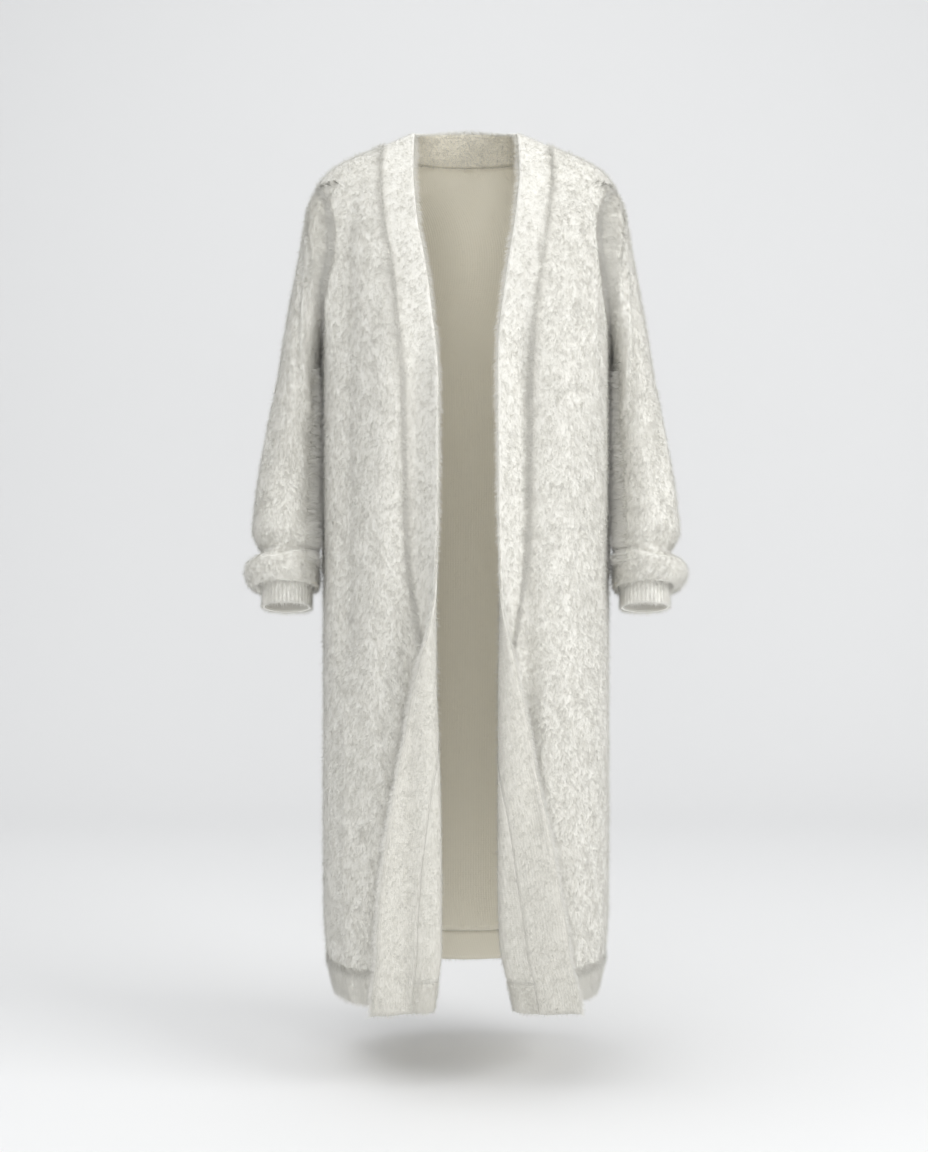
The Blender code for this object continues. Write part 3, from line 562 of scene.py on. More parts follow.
def flat_facing(facing, axis):
    """Turn directions into a plane across one axis, so that a rim lies flat in it."""
    facing = facing.copy()
    facing[..., axis] = 0.0
    return unit(facing)


def run_length(points, axis):
    """Distance along a grid's rows or columns, from its first point."""
    steps = np.linalg.norm(np.diff(points, axis=axis), axis=-1)
    start = np.zeros_like(np.take(steps, [0], axis=axis))
    return np.concatenate((start, np.cumsum(steps, axis=axis)), axis=axis)


def front_sheet(side):
    """Points and directions of a front with its band, as one sheet, so that they meet cleanly."""
    share = np.arange(BAND_COLUMNS + 1) / BAND_COLUMNS

    def distances(z):
        return np.broadcast_to(share * BAND_WIDTH, np.shape(z))

    band = front_grid(side, distances, mix(NECK_EDGE_HALF, NECK_SEAM_HALF, share))
    panel = front_grid(side, front_distances(side), shoulder_places(FRONT_COLUMNS))
    sheet = np.concatenate((band, panel[:, 1:]), axis=1)
    sheet[-1, :, 1] = 0.0
    facing = grid_normals(sheet, side)
    facing[-1] = shoulder_facing(side, np.abs(sheet[-1, :, 0]))
    ring, ring_facing, across = armhole_ring(side, 2 * UPPER_ROWS)
    sheet[LOWER_ROWS:, -1] = (ring - across * SEAM_GAP / 2)[:UPPER_ROWS + 1]
    facing[LOWER_ROWS:, -1] = ring_facing[:UPPER_ROWS + 1]
    return sheet, facing


def band_grid():
    """Points of the whole band, from its free edge to its seam, hem to hem, and their directions."""
    share = np.arange(BAND_COLUMNS + 1) / BAND_COLUMNS
    fronts, facings = [], []
    for side in (-1, 1):
        heights = np.linspace(HEM_Z, RIB_TOP_Z, HEM_ROWS)[:-1, None]
        hem = front_point(side, share * BAND_WIDTH, heights)
        sheet, facing = SHEETS[side]
        fronts.append(np.concatenate((hem, sheet[:, :BAND_COLUMNS + 1])))
        facings.append(facing[:-1, :BAND_COLUMNS + 1])
    angle = math.pi / 2 * (np.arange(1, 2 * NECK_COLUMNS) / NECK_COLUMNS - 1)
    seam_x = NECK_SEAM_HALF * np.sin(angle)
    seam = dome_point(1, 1, np.abs(seam_x), back_top(np.abs(seam_x)))
    seam[:, 0] = seam_x
    rise = shoulder_line(NECK_EDGE_HALF) + NECK_EDGE_RISE * np.cos(angle) ** 0.9
    edge_y = NECK_EDGE_DEPTH * np.cos(angle) ** 0.9
    edge = np.stack((NECK_EDGE_HALF * np.sin(angle), edge_y, rise), axis=1)
    neck = mix(edge[:, None], seam[:, None], share[None, :, None])
    points = np.concatenate((fronts[0], neck, fronts[1][::-1]))
    facing = grid_normals(points, -1)
    shared = slice(HEM_ROWS - 1, HEM_ROWS - 1 + len(facings[0]))
    facing[shared] = facings[0]
    facing[::-1][shared] = facings[1]
    return points, facing


def sleeve_grid(side):
    """Points round a sleeve, from the armhole to the end that turns up inside the puff."""
    ring, ring_facing, across = armhole_ring(side, SLEEVE_POINTS)
    count = len(SLEEVE["outer_x"])
    sections = np.arange(SLEEVE_STEPS, count * SLEEVE_STEPS + 1) / SLEEVE_STEPS
    angles = 2 * math.pi * np.arange(SLEEVE_POINTS) / SLEEVE_POINTS
    value = {name: curve(sections)[:, None] for name, curve in SLEEVE_CURVES.items()}
    middle_x = (value["outer_x"] + value["inner_x"]) / 2
    middle_z = (value["outer_z"] + value["inner_z"]) / 2
    half_x = (value["outer_x"] - value["inner_x"]) / 2
    half_z = (value["outer_z"] - value["inner_z"]) / 2
    x = middle_x - np.cos(angles) * half_x
    y = value["centre_y"] - np.sin(angles) * value["half_depth"]
    tilt = ease((TILT_FROM_Z - middle_z) / (TILT_FROM_Z - TILT_FULL_Z)) * math.tan(WRIST_TILT)
    z = middle_z - np.cos(angles) * half_z - (y - value["centre_y"]) * tilt
    lower = np.stack((side * x, y, z), axis=-1)
    ring = ring + across * SEAM_GAP / 2
    away = (lower[1] - lower[0]) * SLEEVE_STEPS
    steps = np.arange(SLEEVE_STEPS)[:, None, None] / SLEEVE_STEPS
    chord = lower[0] - ring
    bend = 2 * (ring - lower[0]) + chord + away
    upper = ((bend * steps + 3 * chord - 2 * chord - away) * steps + chord) * steps + ring
    points = np.concatenate((upper, lower))
    facing = grid_normals(points, -side, closed=True)
    facing[0] = ring_facing
    sections = np.concatenate((np.arange(SLEEVE_STEPS) / SLEEVE_STEPS, sections))
    points = points + facing * sleeve_lift(side, sections)[..., None]
    return points, facing


def sleeve_lift(side, sections):
    """How far a sleeve's folds lift its points at each section."""
    angles = 360.0 * np.arange(SLEEVE_POINTS) / SLEEVE_POINTS
    lift = np.zeros((len(sections), SLEEVE_POINTS))
    for fold in each_row(SLEEVE_FOLDS):
        if fold["side"] not in (0, side):
            continue
        span = fold["section_bottom"] - fold["section_top"]
        share = np.clip((sections[:, None] - fold["section_top"]) / span, 0, 1)
        centre = mix(fold["angle_top"], fold["angle_bottom"], share)
        apart = (angles - centre + 180) % 360 - 180
        lift += fold["height"] * np.sin(math.pi * share) * np.exp(-(apart / fold["spread"]) ** 2)
    return lift


def cuff_grid(side):
    """Outer points of a cuff with its ribs, its plain inner points, and its outward directions."""
    count = CUFF_RIBS * RIB_STEPS
    angles = 2 * math.pi * np.arange(count) / count
    rows = np.linspace(0, len(CUFF["z"]) - 1, 13)
    value = {name: Curve(np.arange(len(v)), v)(rows)[:, None] for name, v in CUFF.items()}
    groove = RIB_HEIGHT * (1 - np.abs(np.cos(angles * CUFF_RIBS / 2)) ** 0.8)
    grids = []
    for depth in (CUFF_RECESS + groove, WALL):
        x = value["centre_x"] - np.cos(angles) * (value["half_width"] - depth)
        y = value["centre_y"] - np.sin(angles) * (value["half_depth"] - depth)
        z = value["z"] - (y - value["centre_y"]) * math.tan(WRIST_TILT)
        grids.append(np.stack((side * x, y, z), axis=-1))
    facing = unit(grids[0] - np.mean(grids[0], axis=1, keepdims=True))
    return grids[0], grids[1], flat_facing(facing, 2)


def hem_grid(point, width_at, start, sign):
    """Outer points of a ribbed hem with its ribs, its plain inner points, and its directions."""
    ribs = round((width_at(RIB_TOP_Z) - start) / RIB_PITCH)
    share = np.arange(ribs * RIB_STEPS + 1) / (ribs * RIB_STEPS)
    heights = np.linspace(HEM_Z, RIB_TOP_Z, HEM_ROWS)[:, None]
    points = point(mix(start, width_at(heights), share), heights)
    facing = flat_facing(grid_normals(points, sign), 2)
    groove = RIB_HEIGHT * (1 - np.abs(np.cos(math.pi * share * ribs)) ** 0.8)
    outer = points - (HEM_RECESS + groove)[None, :, None] * facing
    return outer, points - WALL * facing, facing


def node_material(name, build):
    """Make a material and let a function add its nodes."""
    material = bpy.data.materials.new(name)
    material.use_nodes = True
    nodes, links = material.node_tree.nodes, material.node_tree.links
    build(nodes, links, nodes["Principled BSDF"])
    return material


def add_node(nodes, kind, **values):
    """Add a node and set its properties and sockets by name."""
    node = nodes.new(kind)
    for name, value in values.items():
        if name in node.inputs:
            node.inputs[name].default_value = value
        else:
            setattr(node, name, value)
    return node


def coloured(nodes, links, value, low, high, start=0.0, end=1.0):
    """Turn a value into a colour between two."""
    ramp = add_node(nodes, "ShaderNodeValToRGB")
    first, last = ramp.color_ramp.elements
    first.position, last.position = start, end
    first.color, last.color = [*low, 1], [*high, 1]
    links.new(value, ramp.inputs["Fac"])
    return ramp.outputs["Color"]


def raise_surface(nodes, links, shader, height, strength, distance):
    """Let a height bend the shader's normal."""
    bump = add_node(nodes, "ShaderNodeBump", Strength=strength, Distance=distance)
    links.new(height, bump.inputs["Height"])
    links.new(bump.outputs["Normal"], shader.inputs["Normal"])


def set_finish(shader, roughness, sheen, sheen_roughness):
    shader.inputs["Roughness"].default_value = roughness
    shader.inputs["Sheen Weight"].default_value = sheen
    shader.inputs["Sheen Roughness"].default_value = sheen_roughness


def noise_value(nodes, links, scale, detail):
    """Noise that is fixed to the piece's own coordinates."""
    place = add_node(nodes, "ShaderNodeTexCoord")
    noise = add_node(nodes, "ShaderNodeTexNoise", Scale=scale, Detail=detail)
    links.new(place.outputs["Object"], noise.inputs["Vector"])
    return noise.outputs["Fac"]


def stripes(nodes, links, source, pitch):
    """A wave over one flat coordinate, with a stripe at each pitch."""
    turn = add_node(nodes, "ShaderNodeMath", operation="MULTIPLY")
    turn.inputs[1].default_value = 2 * math.pi / pitch
    wave = add_node(nodes, "ShaderNodeMath", operation="SINE")
    links.new(source, turn.inputs[0])
    links.new(turn.outputs[0], wave.inputs[0])
    return wave.outputs[0]


def weighted(nodes, links, value, weight, other):
    """A value times its weight, plus another value."""
    both = add_node(nodes, "ShaderNodeMath", operation="MULTIPLY_ADD")
    both.inputs[1].default_value = weight
    links.new(value, both.inputs[0])
    links.new(other, both.inputs[2])
    return both.outputs[0]


def ground_nodes(colour):
    """The knitted ground under the pile."""
    def build(nodes, links, shader):
        noise = noise_value(nodes, links, 260.0, 3.0)
        dark = [value * 0.96 for value in colour]
        links.new(coloured(nodes, links, noise, dark, colour, 0.3, 0.7), shader.inputs["Base Color"])
        raise_surface(nodes, links, shader, noise, 0.4, 0.001)
        set_finish(shader, 0.95, 0.3, 0.5)
    return build


def reverse_nodes(colour):
    """The reverse side: fine wales of knit with a light fuzz."""
    def build(nodes, links, shader):
        uv = add_node(nodes, "ShaderNodeUVMap", uv_map="cloth")
        split = add_node(nodes, "ShaderNodeSeparateXYZ")
        links.new(uv.outputs["UV"], split.inputs["Vector"])
        wales = stripes(nodes, links, split.outputs["X"], WALE_PITCH)
        courses = stripes(nodes, links, split.outputs["Y"], COURSE_PITCH)
        knit = weighted(nodes, links, courses, 0.35, wales)
        height = weighted(nodes, links, noise_value(nodes, links, 420.0, 4.0), 1.6, knit)
        dark = [value * 0.97 for value in colour]
        links.new(coloured(nodes, links, height, dark, colour), shader.inputs["Base Color"])
        raise_surface(nodes, links, shader, height, 0.12, 0.0006)
        set_finish(shader, 0.9, 0.25, 0.5)
    return build


def fur_nodes(root, tip, through):
    """Strands of pile, from a warm root to a pale tip, that let a share of the light through."""
    def build(nodes, links, shader):
        shade = add_node(nodes, "ShaderNodeAttribute", attribute_name="shade")
        colour = coloured(nodes, links, shade.outputs["Fac"], root, tip)
        passing = add_node(nodes, "ShaderNodeBsdfTranslucent")
        both = add_node(nodes, "ShaderNodeMixShader", Fac=through)
        links.new(colour, shader.inputs["Base Color"])
        links.new(colour, passing.inputs["Color"])
        links.new(shader.outputs["BSDF"], both.inputs[1])
        links.new(passing.outputs["BSDF"], both.inputs[2])
        links.new(both.outputs["Shader"], nodes["Material Output"].inputs["Surface"])
        set_finish(shader, 0.8, 0.4, 0.4)
    return build


GROUND = node_material("furry_ground", ground_nodes((0.77, 0.757, 0.705)))
# The ribs' ground is a lighter copy of the furry ground: painted light that lifts the cuffs under the
# puffs and the grooved hems out of their shade.
RIB_PAINTED_LIGHT = node_material("rib_ground_painted_light", ground_nodes((0.92, 0.91, 0.86)))
# The reverse knit in two copies: the fronts, band, hems and cuffs take the darker one; the back, sleeves,
# back hem and back of the neck take a lighter, warmer one, with painted warm bounce light for the shaded
# inside.
REVERSE = node_material("reverse_knit", reverse_nodes((0.65, 0.635, 0.58)))
INSIDE_PAINTED_LIGHT = node_material("inside_knit_painted_light", reverse_nodes((0.91, 0.865, 0.735)))
FUR = node_material("furry_pile", fur_nodes((0.67, 0.656, 0.602), (0.83, 0.82, 0.775), 0.3))
# A lighter copy of the pile, with painted light, for standing and edge hairs and for the pile in the
# shaded valleys between sleeves and body and on the ribs; it also lets more light through.
PILE_PAINTED_LIGHT = node_material("furry_pile_painted_light", fur_nodes((0.82, 0.81, 0.765), (0.91, 0.90, 0.87), 0.5))
# Fuzz of the reverse side in the same two copies: the inside's copy is lighter and warmer, with painted
# warm bounce light.
REVERSE_FUZZ = node_material("reverse_fuzz", fur_nodes((0.66, 0.645, 0.59), (0.73, 0.72, 0.67), 0.3))
INSIDE_FUZZ_PAINTED_LIGHT = node_material("inside_fuzz_painted_light", fur_nodes((0.88, 0.84, 0.73), (0.92, 0.88, 0.77), 0.3))
PILE_KINDS = (FUR, PILE_PAINTED_LIGHT, REVERSE_FUZZ, INSIDE_FUZZ_PAINTED_LIGHT)

# Strands of each use: length, width, lean from upright, how many grow together and how far apart,
# how much their tips gather, how far their way wanders, and their look.
LYING = dict(length=0.0090, width=0.0006, lean=1.25, tuft=2, spread=0.0006, gather=0.3)
STANDING = dict(length=0.0092, width=0.00035, lean=0.80, tuft=1, spread=0.002, kind=PILE_PAINTED_LIGHT)
SEAM = dict(length=0.011, width=0.0005, lean=1.10, wander=0.8)
EDGE_HAIR = dict(length=0.0092, width=0.00042, lean=0.60, tuft=1, spread=0.0015, kind=PILE_PAINTED_LIGHT)
INNER_PILE = dict(length=0.0095, width=0.0006, lean=0.70, wander=1.0, kind=PILE_PAINTED_LIGHT)
VALLEY = dict(length=0.0125, width=0.00055, lean=0.90, wander=0.5, kind=PILE_PAINTED_LIGHT)
RIB_LYING = dict(length=0.007, width=0.00045, lean=1.25, tuft=1, wander=0.4, kind=PILE_PAINTED_LIGHT)
RIB_STANDING = dict(length=0.0075, width=0.0003, lean=0.85, tuft=1, kind=PILE_PAINTED_LIGHT)
FUZZ = dict(length=0.006, width=0.00035, lean=1.1, tuft=1, wander=1.2, kind=REVERSE_FUZZ)
FUZZ_HAIR = dict(length=0.007, width=0.00035, lean=0.6, tuft=1, wander=1.2, kind=PILE_PAINTED_LIGHT)
INNER_FUZZ = dict(length=0.006, width=0.0004, lean=1.2, tuft=1, wander=1.2, kind=INSIDE_FUZZ_PAINTED_LIGHT)
NECK_FUZZ = dict(INNER_FUZZ, length=0.009, nap=(0, 0, 1))
WHOLE = slice(None)


def add_object(name, data):
    """Put data into the scene as an object."""
    thing = bpy.data.objects.new(name, data)
    bpy.context.scene.collection.objects.link(thing)
    return thing


def add_cloth(name, outer, inner, surface, ground, reverse, closed=False):
    """Make one wall of cloth between two grids of points, flat coordinates measured on a surface."""
    across, along = run_length(surface, 1), run_length(surface, 0)
    rows, columns = outer.shape[:2]
    size = rows * columns
    last = columns if closed else columns - 1
    row, column = np.meshgrid(np.arange(rows - 1), np.arange(last), indexing="ij")
    row, column = row.ravel(), column.ravel()
    over = (column + 1) % columns
    quad = np.stack((row * columns + column, row * columns + over,
                     (row + 1) * columns + over, (row + 1) * columns + column), axis=1)
    corner_rows = np.stack((row, row, row + 1, row + 1), axis=1)
    corner_columns = np.stack((column, column + 1, column + 1, column), axis=1)
    index = np.arange(size).reshape(rows, columns)
    if closed:
        index = np.concatenate((index, index[:, :1]), axis=1)
        across = np.concatenate((across, across[:, -1:] * 2 - across[:, -2:-1]), axis=1)
        along = np.concatenate((along, along[:, :1]), axis=1)
    uv = np.stack((across[corner_rows, corner_columns], along[corner_rows, corner_columns]), -1)
    rims = [index[0], index[-1][::-1]]
    if not closed:
        rims += [index[:, 0][::-1], index[:, -1]]
    rim_quads = [np.stack((rim[1:], rim[:-1], rim[:-1] + size, rim[1:] + size), 1) for rim in rims]
    faces = np.concatenate([quad, quad[:, ::-1] + size] + rim_quads)
    uvs = np.concatenate([uv, uv[:, ::-1]] + [np.zeros((len(q), 4, 2)) for q in rim_quads])
    slots = np.concatenate((np.zeros(len(quad)), np.ones(len(quad)),
                            np.zeros(len(faces) - 2 * len(quad)))).astype(np.int32)
    vertices = np.concatenate((outer.reshape(-1, 3), inner.reshape(-1, 3)))
    mesh = bpy.data.meshes.new(name)
    mesh.from_pydata(vertices.tolist(), [], faces.tolist())
    layer = mesh.uv_layers.new(name="cloth")
    layer.data.foreach_set("uv", uvs.ravel())
    mesh.materials.append(ground)
    mesh.materials.append(reverse)
    mesh.polygons.foreach_set("material_index", slots)
    mesh.shade_smooth()
    if volume(vertices, faces) < 0:
        mesh.flip_normals()
    return add_object(name, mesh)


def volume(vertices, faces):
    """Volume of a closed mesh, which is below zero if it is inside out."""
    a, b, c, d = (vertices[faces[:, corner]] for corner in range(4))
    return np.sum(a * np.cross(b, c)) + np.sum(a * np.cross(c, d))


def waves(seed, places, size, count=10):
    """Smooth seeded noise from -1 to 1 or so, with features of about the size given."""
    rng = np.random.default_rng(seed)
    directions = unit(rng.normal(size=(count, 3))) * 2 * math.pi / size
    directions *= rng.uniform(0.6, 1.4, (count, 1))
    phases = rng.uniform(0, 2 * math.pi, count)
    return np.sum(np.sin(places @ directions.T + phases), axis=1) * math.sqrt(2 / count) / 1.4


def add_pile(name, seed, layers):
    """Make all the pile of one piece as a joined mesh of thin strands.

    Each layer has a grid of roots with normals, a count of strands, and the strands' sizes.
    """
    rng = np.random.default_rng(seed)
    kinds = [PILE_KINDS.index(layer.pop("kind", FUR)) for layer in layers]
    corners, shades, normals = zip(*(strands(rng, **layer) for layer in layers))
    slots = np.repeat(np.array(kinds, np.int32), [len(part) for part in corners])
    vertices = np.concatenate(corners).reshape(-1, 3)
    count = len(slots)
    mesh = bpy.data.meshes.new(name)
    mesh.vertices.add(len(vertices))
    mesh.vertices.foreach_set("co", vertices.ravel().astype(np.float32))
    mesh.loops.add(count * 3)
    mesh.loops.foreach_set("vertex_index", np.arange(count * 3, dtype=np.int32))
    mesh.polygons.add(count)
    mesh.polygons.foreach_set("loop_start", np.arange(count, dtype=np.int32) * 3)
    mesh.polygons.foreach_set("material_index", slots)
    shade = mesh.attributes.new("shade", "FLOAT", "POINT")
    shade.data.foreach_set("value", np.concatenate(shades).ravel().astype(np.float32))
    mesh.update()
    mesh.shade_smooth()
    facing = mesh.attributes.new("custom_normal", "FLOAT_VECTOR", "POINT")
    facing.data.foreach_set("vector", np.concatenate(normals).ravel().astype(np.float32))
    for material in PILE_KINDS:
        mesh.materials.append(material)
    return add_object(name, mesh)


def strands(rng, points, normals, count, length, width, lean, tuft=2, spread=0.0008,
            gather=0.4, wander=0.6, closed=False, nap=(0, 0, -1), shading=None):
    """Strands in tufts over a grid of roots: their corners, shades and shading normals."""
    if closed:
        points = np.concatenate((points, points[:, :1]), axis=1)
        normals = np.concatenate((normals, normals[:, :1]), axis=1)
    side_a = points[:-1, 1:] - points[:-1, :-1]
    side_b = points[1:, :-1] - points[:-1, :-1]
    area = np.linalg.norm(np.cross(side_a, side_b), axis=-1)
    total = np.cumsum(area.ravel())
    tufts = count // tuft
    cell = np.searchsorted(total, rng.random(tufts) * total[-1])
    row, column = np.divmod(np.minimum(cell, area.size - 1), area.shape[1])
    place = row, column, rng.random((tufts, 1)), rng.random((tufts, 1))
    centre, normal = between(points, *place), unit(between(normals, *place))
    fall = np.broadcast_to(np.array(nap, float), normal.shape)
    fall = unit(fall - np.sum(fall * normal, axis=1, keepdims=True) * normal)
    beside = np.cross(normal, fall)
    swirl = wander * (0.5 * waves(11, centre, 0.030) + 0.8 * rng.normal(size=tufts))[:, None]
    nap_way = unit(fall * np.cos(swirl) + beside * np.sin(swirl))
    tall = (1 + 0.08 * waves(12, centre, 0.022) + 0.12 * rng.normal(size=tufts))[:, None]
    tilt = (lean + 0.03 * waves(13, centre, 0.018) + 0.11 * rng.normal(size=tufts))[:, None]

    each = np.repeat(np.arange(tufts), tuft)
    angle = rng.uniform(0, 2 * math.pi, len(each))[:, None]
    radius = spread * np.sqrt(rng.random(len(each)))[:, None]
    offset = (fall[each] * np.cos(angle) + beside[each] * np.sin(angle)) * radius
    root = centre[each] + offset
    lean_each = np.clip(tilt[each] + 0.08 * rng.normal(size=(len(each), 1)), 0.05, 1.45)
    stray = beside[each] * 0.30 * rng.normal(size=(len(each), 1))
    way = unit(nap_way[each] + stray)
    direction = normal[each] * np.cos(lean_each) + way * np.sin(lean_each)
    reach = length * tall[each] * rng.uniform(0.65, 1.2, (len(each), 1))
    tip = root + direction * reach - offset * gather
    shown = normal if shading is None else unit(between(shading, *place))
    flat = unit(np.cross(direction, shown[each] + 0.15 * rng.normal(size=(len(each), 3))))
    half = flat * width / 2
    corners = np.stack((root - half, root + half, tip), axis=1)
    tone = 0.5 + 0.03 * waves(14, centre, 0.02)[each]
    tone = tone + 0.08 * rng.normal(size=tufts)[each] + 0.12 * rng.normal(size=len(each))
    shade = np.stack((tone - 0.35, tone - 0.35, tone + 0.35), axis=1)
    bent = shown + 0.10 * nap_way + 0.08 * rng.normal(size=(tufts, 3))
    bent = unit(bent[each] + 0.10 * rng.normal(size=(len(each), 3)))
    return corners, np.clip(shade, 0, 1), np.repeat(bent[:, None], 3, axis=1)


def make_piece(name, seed, walls, surface, looks, layers, closed=False):
    """Build a piece's wall of cloth and its pile, tie both to the frame and hide the imported part it
    stands for.
    """
    cloth = add_cloth(name + "_cloth", *walls, surface, *looks, closed)
    pile = add_pile(name + "_pile", seed, layers)
    for piece in (cloth, pile):
        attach(piece, "root")
    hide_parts(name)
    return cloth


def make_panel(name, seed, points, facing, layers, reverse, closed=False):
    """Build a furry piece on its surface and the surface's outward directions."""
    walls = points - GROUND_DEPTH * facing, points - WALL * facing
    return make_piece(name, seed, walls, points, (GROUND, reverse), layers, closed)


SHEETS = {side: front_sheet(side) for side in (-1, 1)}


def layer(points, facing, place, count, looks, depth=PILE_ROOT, **more):
    """Strands on part of a wall, rooted at a depth under its outside."""
    return dict(points=(points - depth * facing)[place], normals=facing[place], count=count,
                **looks, **more)


def reverse_layer(points, facing, place, count, looks):
    """Strands on part of a wall's reverse side."""
    return dict(points=(points - WALL * facing)[place], normals=-facing[place], count=count, **looks)


def outer_layers(points, facing, count, **more):
    """Pile on the outside of a panel: lying strands and fewer that stand."""
    return [layer(points, facing, WHOLE, count * 7 // 10, LYING, **more),
            layer(points, facing, WHOLE, count * 3 // 10, STANDING, **more)]


def turned_forward(facing):
    """Directions of a wall turned towards the front, where the strands on it catch the light."""
    return unit(facing * [0.2, 1, 1] + [0, -0.6, 0])


def rib_layers(points, facing, count, **more):
    """Short pile that follows the ribs, and hairs that stand out of it."""
    return [layer(points, facing, WHOLE, count * 2 // 3, RIB_LYING, RIB_ROOT, **more),
            layer(points, facing, WHOLE, count // 3, RIB_STANDING, RIB_ROOT, **more)]


def edge_layer(points, facing, count):
    """Strands that stand out of the first column's free edge."""
    outwards = unit(points[:, 0] - points[:, 1])[:, None].repeat(2, axis=1)
    return dict(points=points[:, :2] - EDGE_ROOT * facing[:, :2], normals=outwards,
                shading=facing[:, :2], count=count, **EDGE_HAIR)


def build_front(side, name):
    """A front panel, from its band seam to the side seam and the armhole."""
    points, facing = (grid[:, BAND_COLUMNS:] for grid in SHEETS[side])
    facing = np.concatenate((facing[:-1], flat_facing(facing[-1:], 1)))
    rolled = slice(0, LOWER_ROWS * 2 // 3), slice(0, FRONT_COLUMNS // 2 + 1)
    armhole = slice(LOWER_ROWS, None), slice(-5, None)
    beside = slice(LOWER_ROWS * 5 // 8, LOWER_ROWS + 1), slice(-7, None)
    layers = outer_layers(points, facing, 100000) + [
        reverse_layer(points, facing, rolled, 11000, FUZZ),
        layer(points, facing, (WHOLE, slice(0, 2)), 5000, SEAM, nap=(-side, 0, 0)),
        layer(points, facing, armhole, 6000, SEAM, nap=(side, 0, 0)),
        layer(points, facing, beside, 5000, SEAM, nap=(side, 0, 0), kind=PILE_PAINTED_LIGHT,
              shading=turned_forward(facing[beside])),
        layer(points, facing, slice(0, 2), 2500, SEAM),
    ]
    make_panel(name, 21 if side > 0 else 22, points, facing, layers, REVERSE)


def build_back():
    """The back, from side to side, up to the shoulders and the neck seam."""
    left, right = back_half(-1), back_half(1)
    points = np.concatenate((left[:, ::-1], right[:, 1:]), axis=1)
    facing = grid_normals(points, -1)
    for side, columns in ((-1, slice(0, SHOULDER_COLUMNS + 1)), (1, slice(-SHOULDER_COLUMNS - 1, None))):
        points[-1, columns, 1] = 0.0
        facing[-1, columns] = shoulder_facing(side, np.abs(points[-1, columns, 0]))
    upper = slice(LOWER_ROWS, None)
    for side, column in ((-1, 0), (1, -1)):
        ring, ring_facing, across = armhole_ring(side, 2 * UPPER_ROWS)
        around = -np.arange(UPPER_ROWS + 1)
        points[upper, column] = (ring - across * SEAM_GAP / 2)[around]
        facing[upper, column] = ring_facing[around]
    layers = outer_layers(points, facing, 78000) + [
        reverse_layer(points, facing, WHOLE, 30000, INNER_FUZZ),
        reverse_layer(points, facing, slice(-4, None), 3000, NECK_FUZZ),
        layer(points, facing, slice(-3, None), 4000, SEAM, nap=(0, -1, 0)),
        layer(points, facing, slice(0, 2), 3000, SEAM),
    ]
    make_panel("back", 23, points, facing, layers, INSIDE_PAINTED_LIGHT)


def build_band():
    """The band, one strip up a front edge, round the back of the neck and down the other."""
    points, facing = band_grid()
    half = len(points) // 2 - NECK_COLUMNS
    seam = slice(-2, None)
    layers = outer_layers(points, facing, 36000) + [
        edge_layer(points, facing, 26000),
        reverse_layer(points, facing, WHOLE, 26000, FUZZ),
        reverse_layer(points, facing, WHOLE, 14000, FUZZ_HAIR),
        layer(points, facing, (slice(0, half), seam), 5000, SEAM, nap=(-1, 0, 0)),
        layer(points, facing, (slice(-half, None), seam), 5000, SEAM, nap=(1, 0, 0)),
        layer(points, facing, (slice(half, -half), seam), 2000, SEAM),
    ]
    paint_neck_inside_light(make_panel("front_band", 24, points, facing, layers, REVERSE))


def paint_neck_inside_light(cloth):
    """Give the reverse side of the band round the neck the inside's lighter, warmer copy, with its
    painted warm bounce light.
    """
    mesh = cloth.data
    mesh.materials.append(INSIDE_PAINTED_LIGHT)
    for face in mesh.polygons:
        if face.material_index == 1 and face.center.y > 0 and face.center.z > -0.1:
            face.material_index = 2


def build_sleeve(side, name):
    """A sleeve from the armhole, puffed over the wrist and turned up to the cuff."""
    points, facing = sleeve_grid(side)
    turned = [np.roll(grid, INNER_COLUMNS // 2, axis=1) for grid in (points, facing)]
    shown = slice(0, -2 * SLEEVE_STEPS)
    inner_side = slice(3 * SLEEVE_STEPS, -3 * SLEEVE_STEPS), slice(0, INNER_COLUMNS + 1)
    valley = slice(4 * SLEEVE_STEPS, -5 * SLEEVE_STEPS), slice(2, 11)
    layers = outer_layers(points[shown], facing[shown], 82000, closed=True) + [
        layer(points, facing, slice(0, 2 * SLEEVE_STEPS), 8000, SEAM, nap=(-side, 0, 0), closed=True),
        layer(*turned, inner_side, 4000, INNER_PILE),
        layer(points, facing, valley, 6000, VALLEY, nap=(-side, 0, 0),
              shading=turned_forward(facing[valley])),
    ]
    make_panel(name, 25 if side > 0 else 26, points, facing, layers, INSIDE_PAINTED_LIGHT, closed=True)


def build_cuff(side, name):
    """A ribbed tube that comes out of the sleeve's turned-up end."""
    outer, inner, facing = cuff_grid(side)
    layers = rib_layers(outer, facing, 15000, closed=True)
    seed = 27 if side > 0 else 28
    # The cuff's reverse side takes the darker copy of the reverse knit, so that its opening shows painted
    # shade.
    make_piece(name, seed, (outer, inner), outer, (RIB_PAINTED_LIGHT, REVERSE), layers, closed=True)


def build_hem(name, seed, point, width_at, start, sign):
    """A ribbed hem under a panel."""
    outer, inner, facing = hem_grid(point, width_at, start, sign)
    # The back hem's reverse side takes the inside's copy, with painted warm bounce light; the front hems
    # take the darker copy.
    reverse = INSIDE_PAINTED_LIGHT if name == "hem_rib_back" else REVERSE
    layers = rib_layers(outer, facing, 17000)
    if reverse is REVERSE:
        rolled = slice(None), slice(0, outer.shape[1] // 2)
        layers.append(dict(points=inner[rolled], normals=-facing[rolled], count=3000, **FUZZ))
    make_piece(name, seed, (outer, inner), outer, (RIB_PAINTED_LIGHT, reverse), layers)


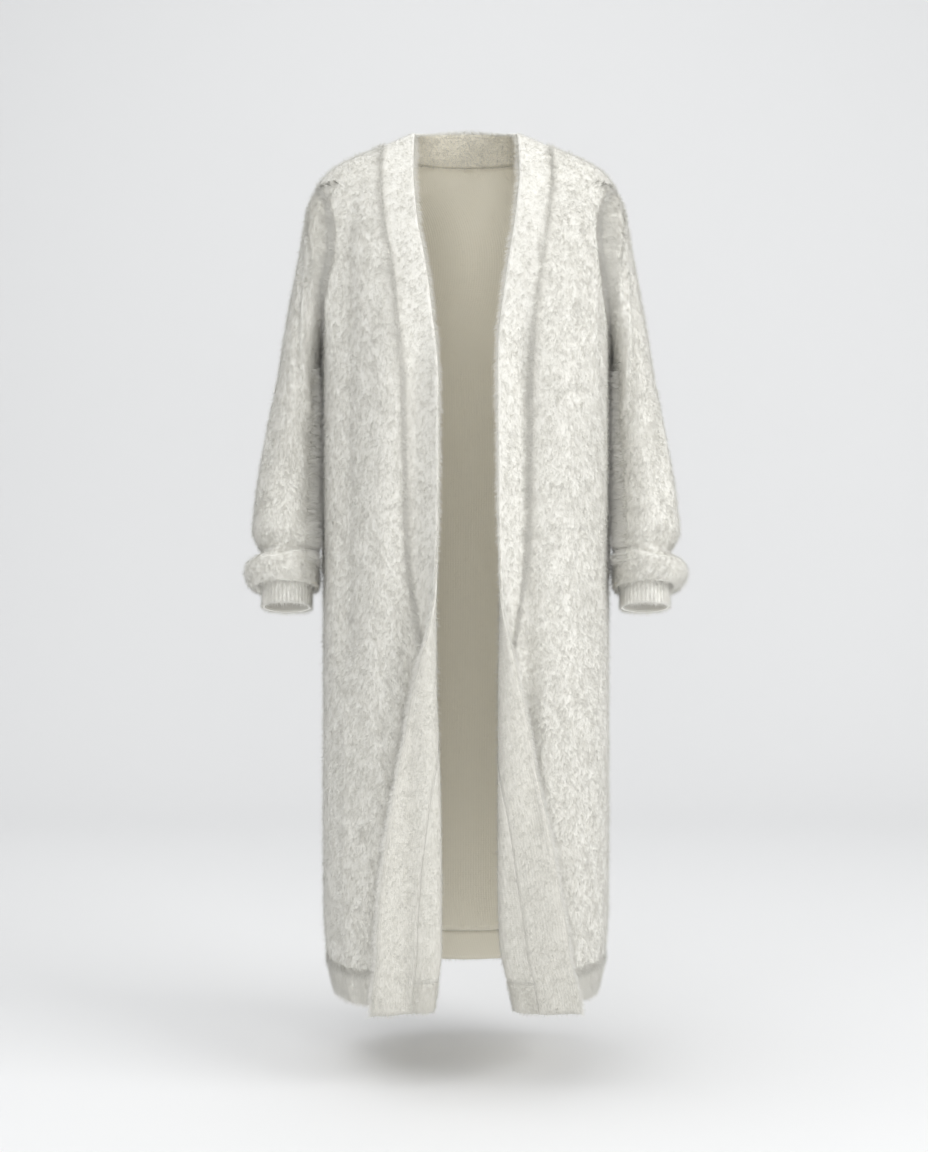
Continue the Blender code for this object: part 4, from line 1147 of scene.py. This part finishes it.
def build_hems():
    for side, name in ((1, "hem_rib_left"), (-1, "hem_rib_right")):
        point, width_at = partial(front_point, side), partial(front_width, side)
        build_hem(name, 30 + side, point, width_at, BAND_WIDTH + SEAM_GAP, side)

    def back_point(place, z):
        from_centre = place - back_width(z)
        side = np.where(from_centre < 0, -1.0, 1.0)
        return lifted_point(side, SECTION.total(z) - np.abs(from_centre), z)

    build_hem("hem_rib_back", 33, back_point, lambda z: 2 * back_width(z), 0.0, -1)


def plain_material(name, colour, roughness):
    def build(nodes, links, shader):
        shader.inputs["Base Color"].default_value = [*colour, 1]
        shader.inputs["Roughness"].default_value = roughness
    return node_material(name, build)


def build_stage():
    """A pale floor that curves up into a backdrop."""
    bend = 1.2
    back = 3.2
    profile = [(-4.0, FLOOR_Z), (back - bend, FLOOR_Z)]
    for step in range(1, 13):
        angle = math.pi / 2 * step / 12
        profile.append((back - bend + bend * math.sin(angle), FLOOR_Z + bend - bend * math.cos(angle)))
    profile.append((back, 4.0))
    vertices = [(x, y, z) for y, z in profile for x in (-5.0, 5.0)]
    faces = [(2 * i, 2 * i + 1, 2 * i + 3, 2 * i + 2) for i in range(len(profile) - 1)]
    mesh = bpy.data.meshes.new("backdrop")
    mesh.from_pydata(vertices, [], faces)
    mesh.shade_smooth()
    mesh.materials.append(plain_material("backdrop", (0.82, 0.82, 0.82), 0.9))
    add_object("backdrop", mesh)


def add_area_light(name, place, target, size, power):
    """A square soft light that faces a point."""
    light = bpy.data.lights.new(name, "AREA")
    light.shape = "SQUARE"
    light.size = size
    light.energy = power
    lamp = add_object(name, light)
    way = np.array(target) - np.array(place)
    lamp.location = place
    lamp.visible_camera = False
    flat = math.hypot(way[0], way[1])
    lamp.rotation_euler = (math.atan2(flat, -way[2]), 0, math.atan2(way[1], way[0]) - math.pi / 2)
    return lamp


def build_light():
    world = bpy.data.worlds.new("studio")
    world.use_nodes = True
    background = world.node_tree.nodes["Background"]
    background.inputs["Color"].default_value = (0.96, 0.98, 1.0, 1)
    background.inputs["Strength"].default_value = 0.49
    bpy.context.scene.world = world
    for lamp in LAMPS:
        add_area_light(*lamp)
    bpy.context.scene.view_settings.view_transform = "Standard"


def build_camera():
    """A level camera at the height of the garment's middle, as in the photograph."""
    camera = bpy.data.cameras.new("camera")
    camera.lens = 50
    camera.sensor_width = 36
    eye = add_object("camera", camera)
    eye.location = CAMERA_PLACE
    eye.rotation_euler = (math.pi / 2, 0, 0)
    bpy.context.scene.camera = eye


build_camera()
build_stage()
build_light()
build_back()
build_band()
for side, word in ((1, "left"), (-1, "right")):
    build_front(side, "front_" + word)
    build_sleeve(side, "sleeve_" + word)
    build_cuff(side, "cuff_" + word)
build_hems()
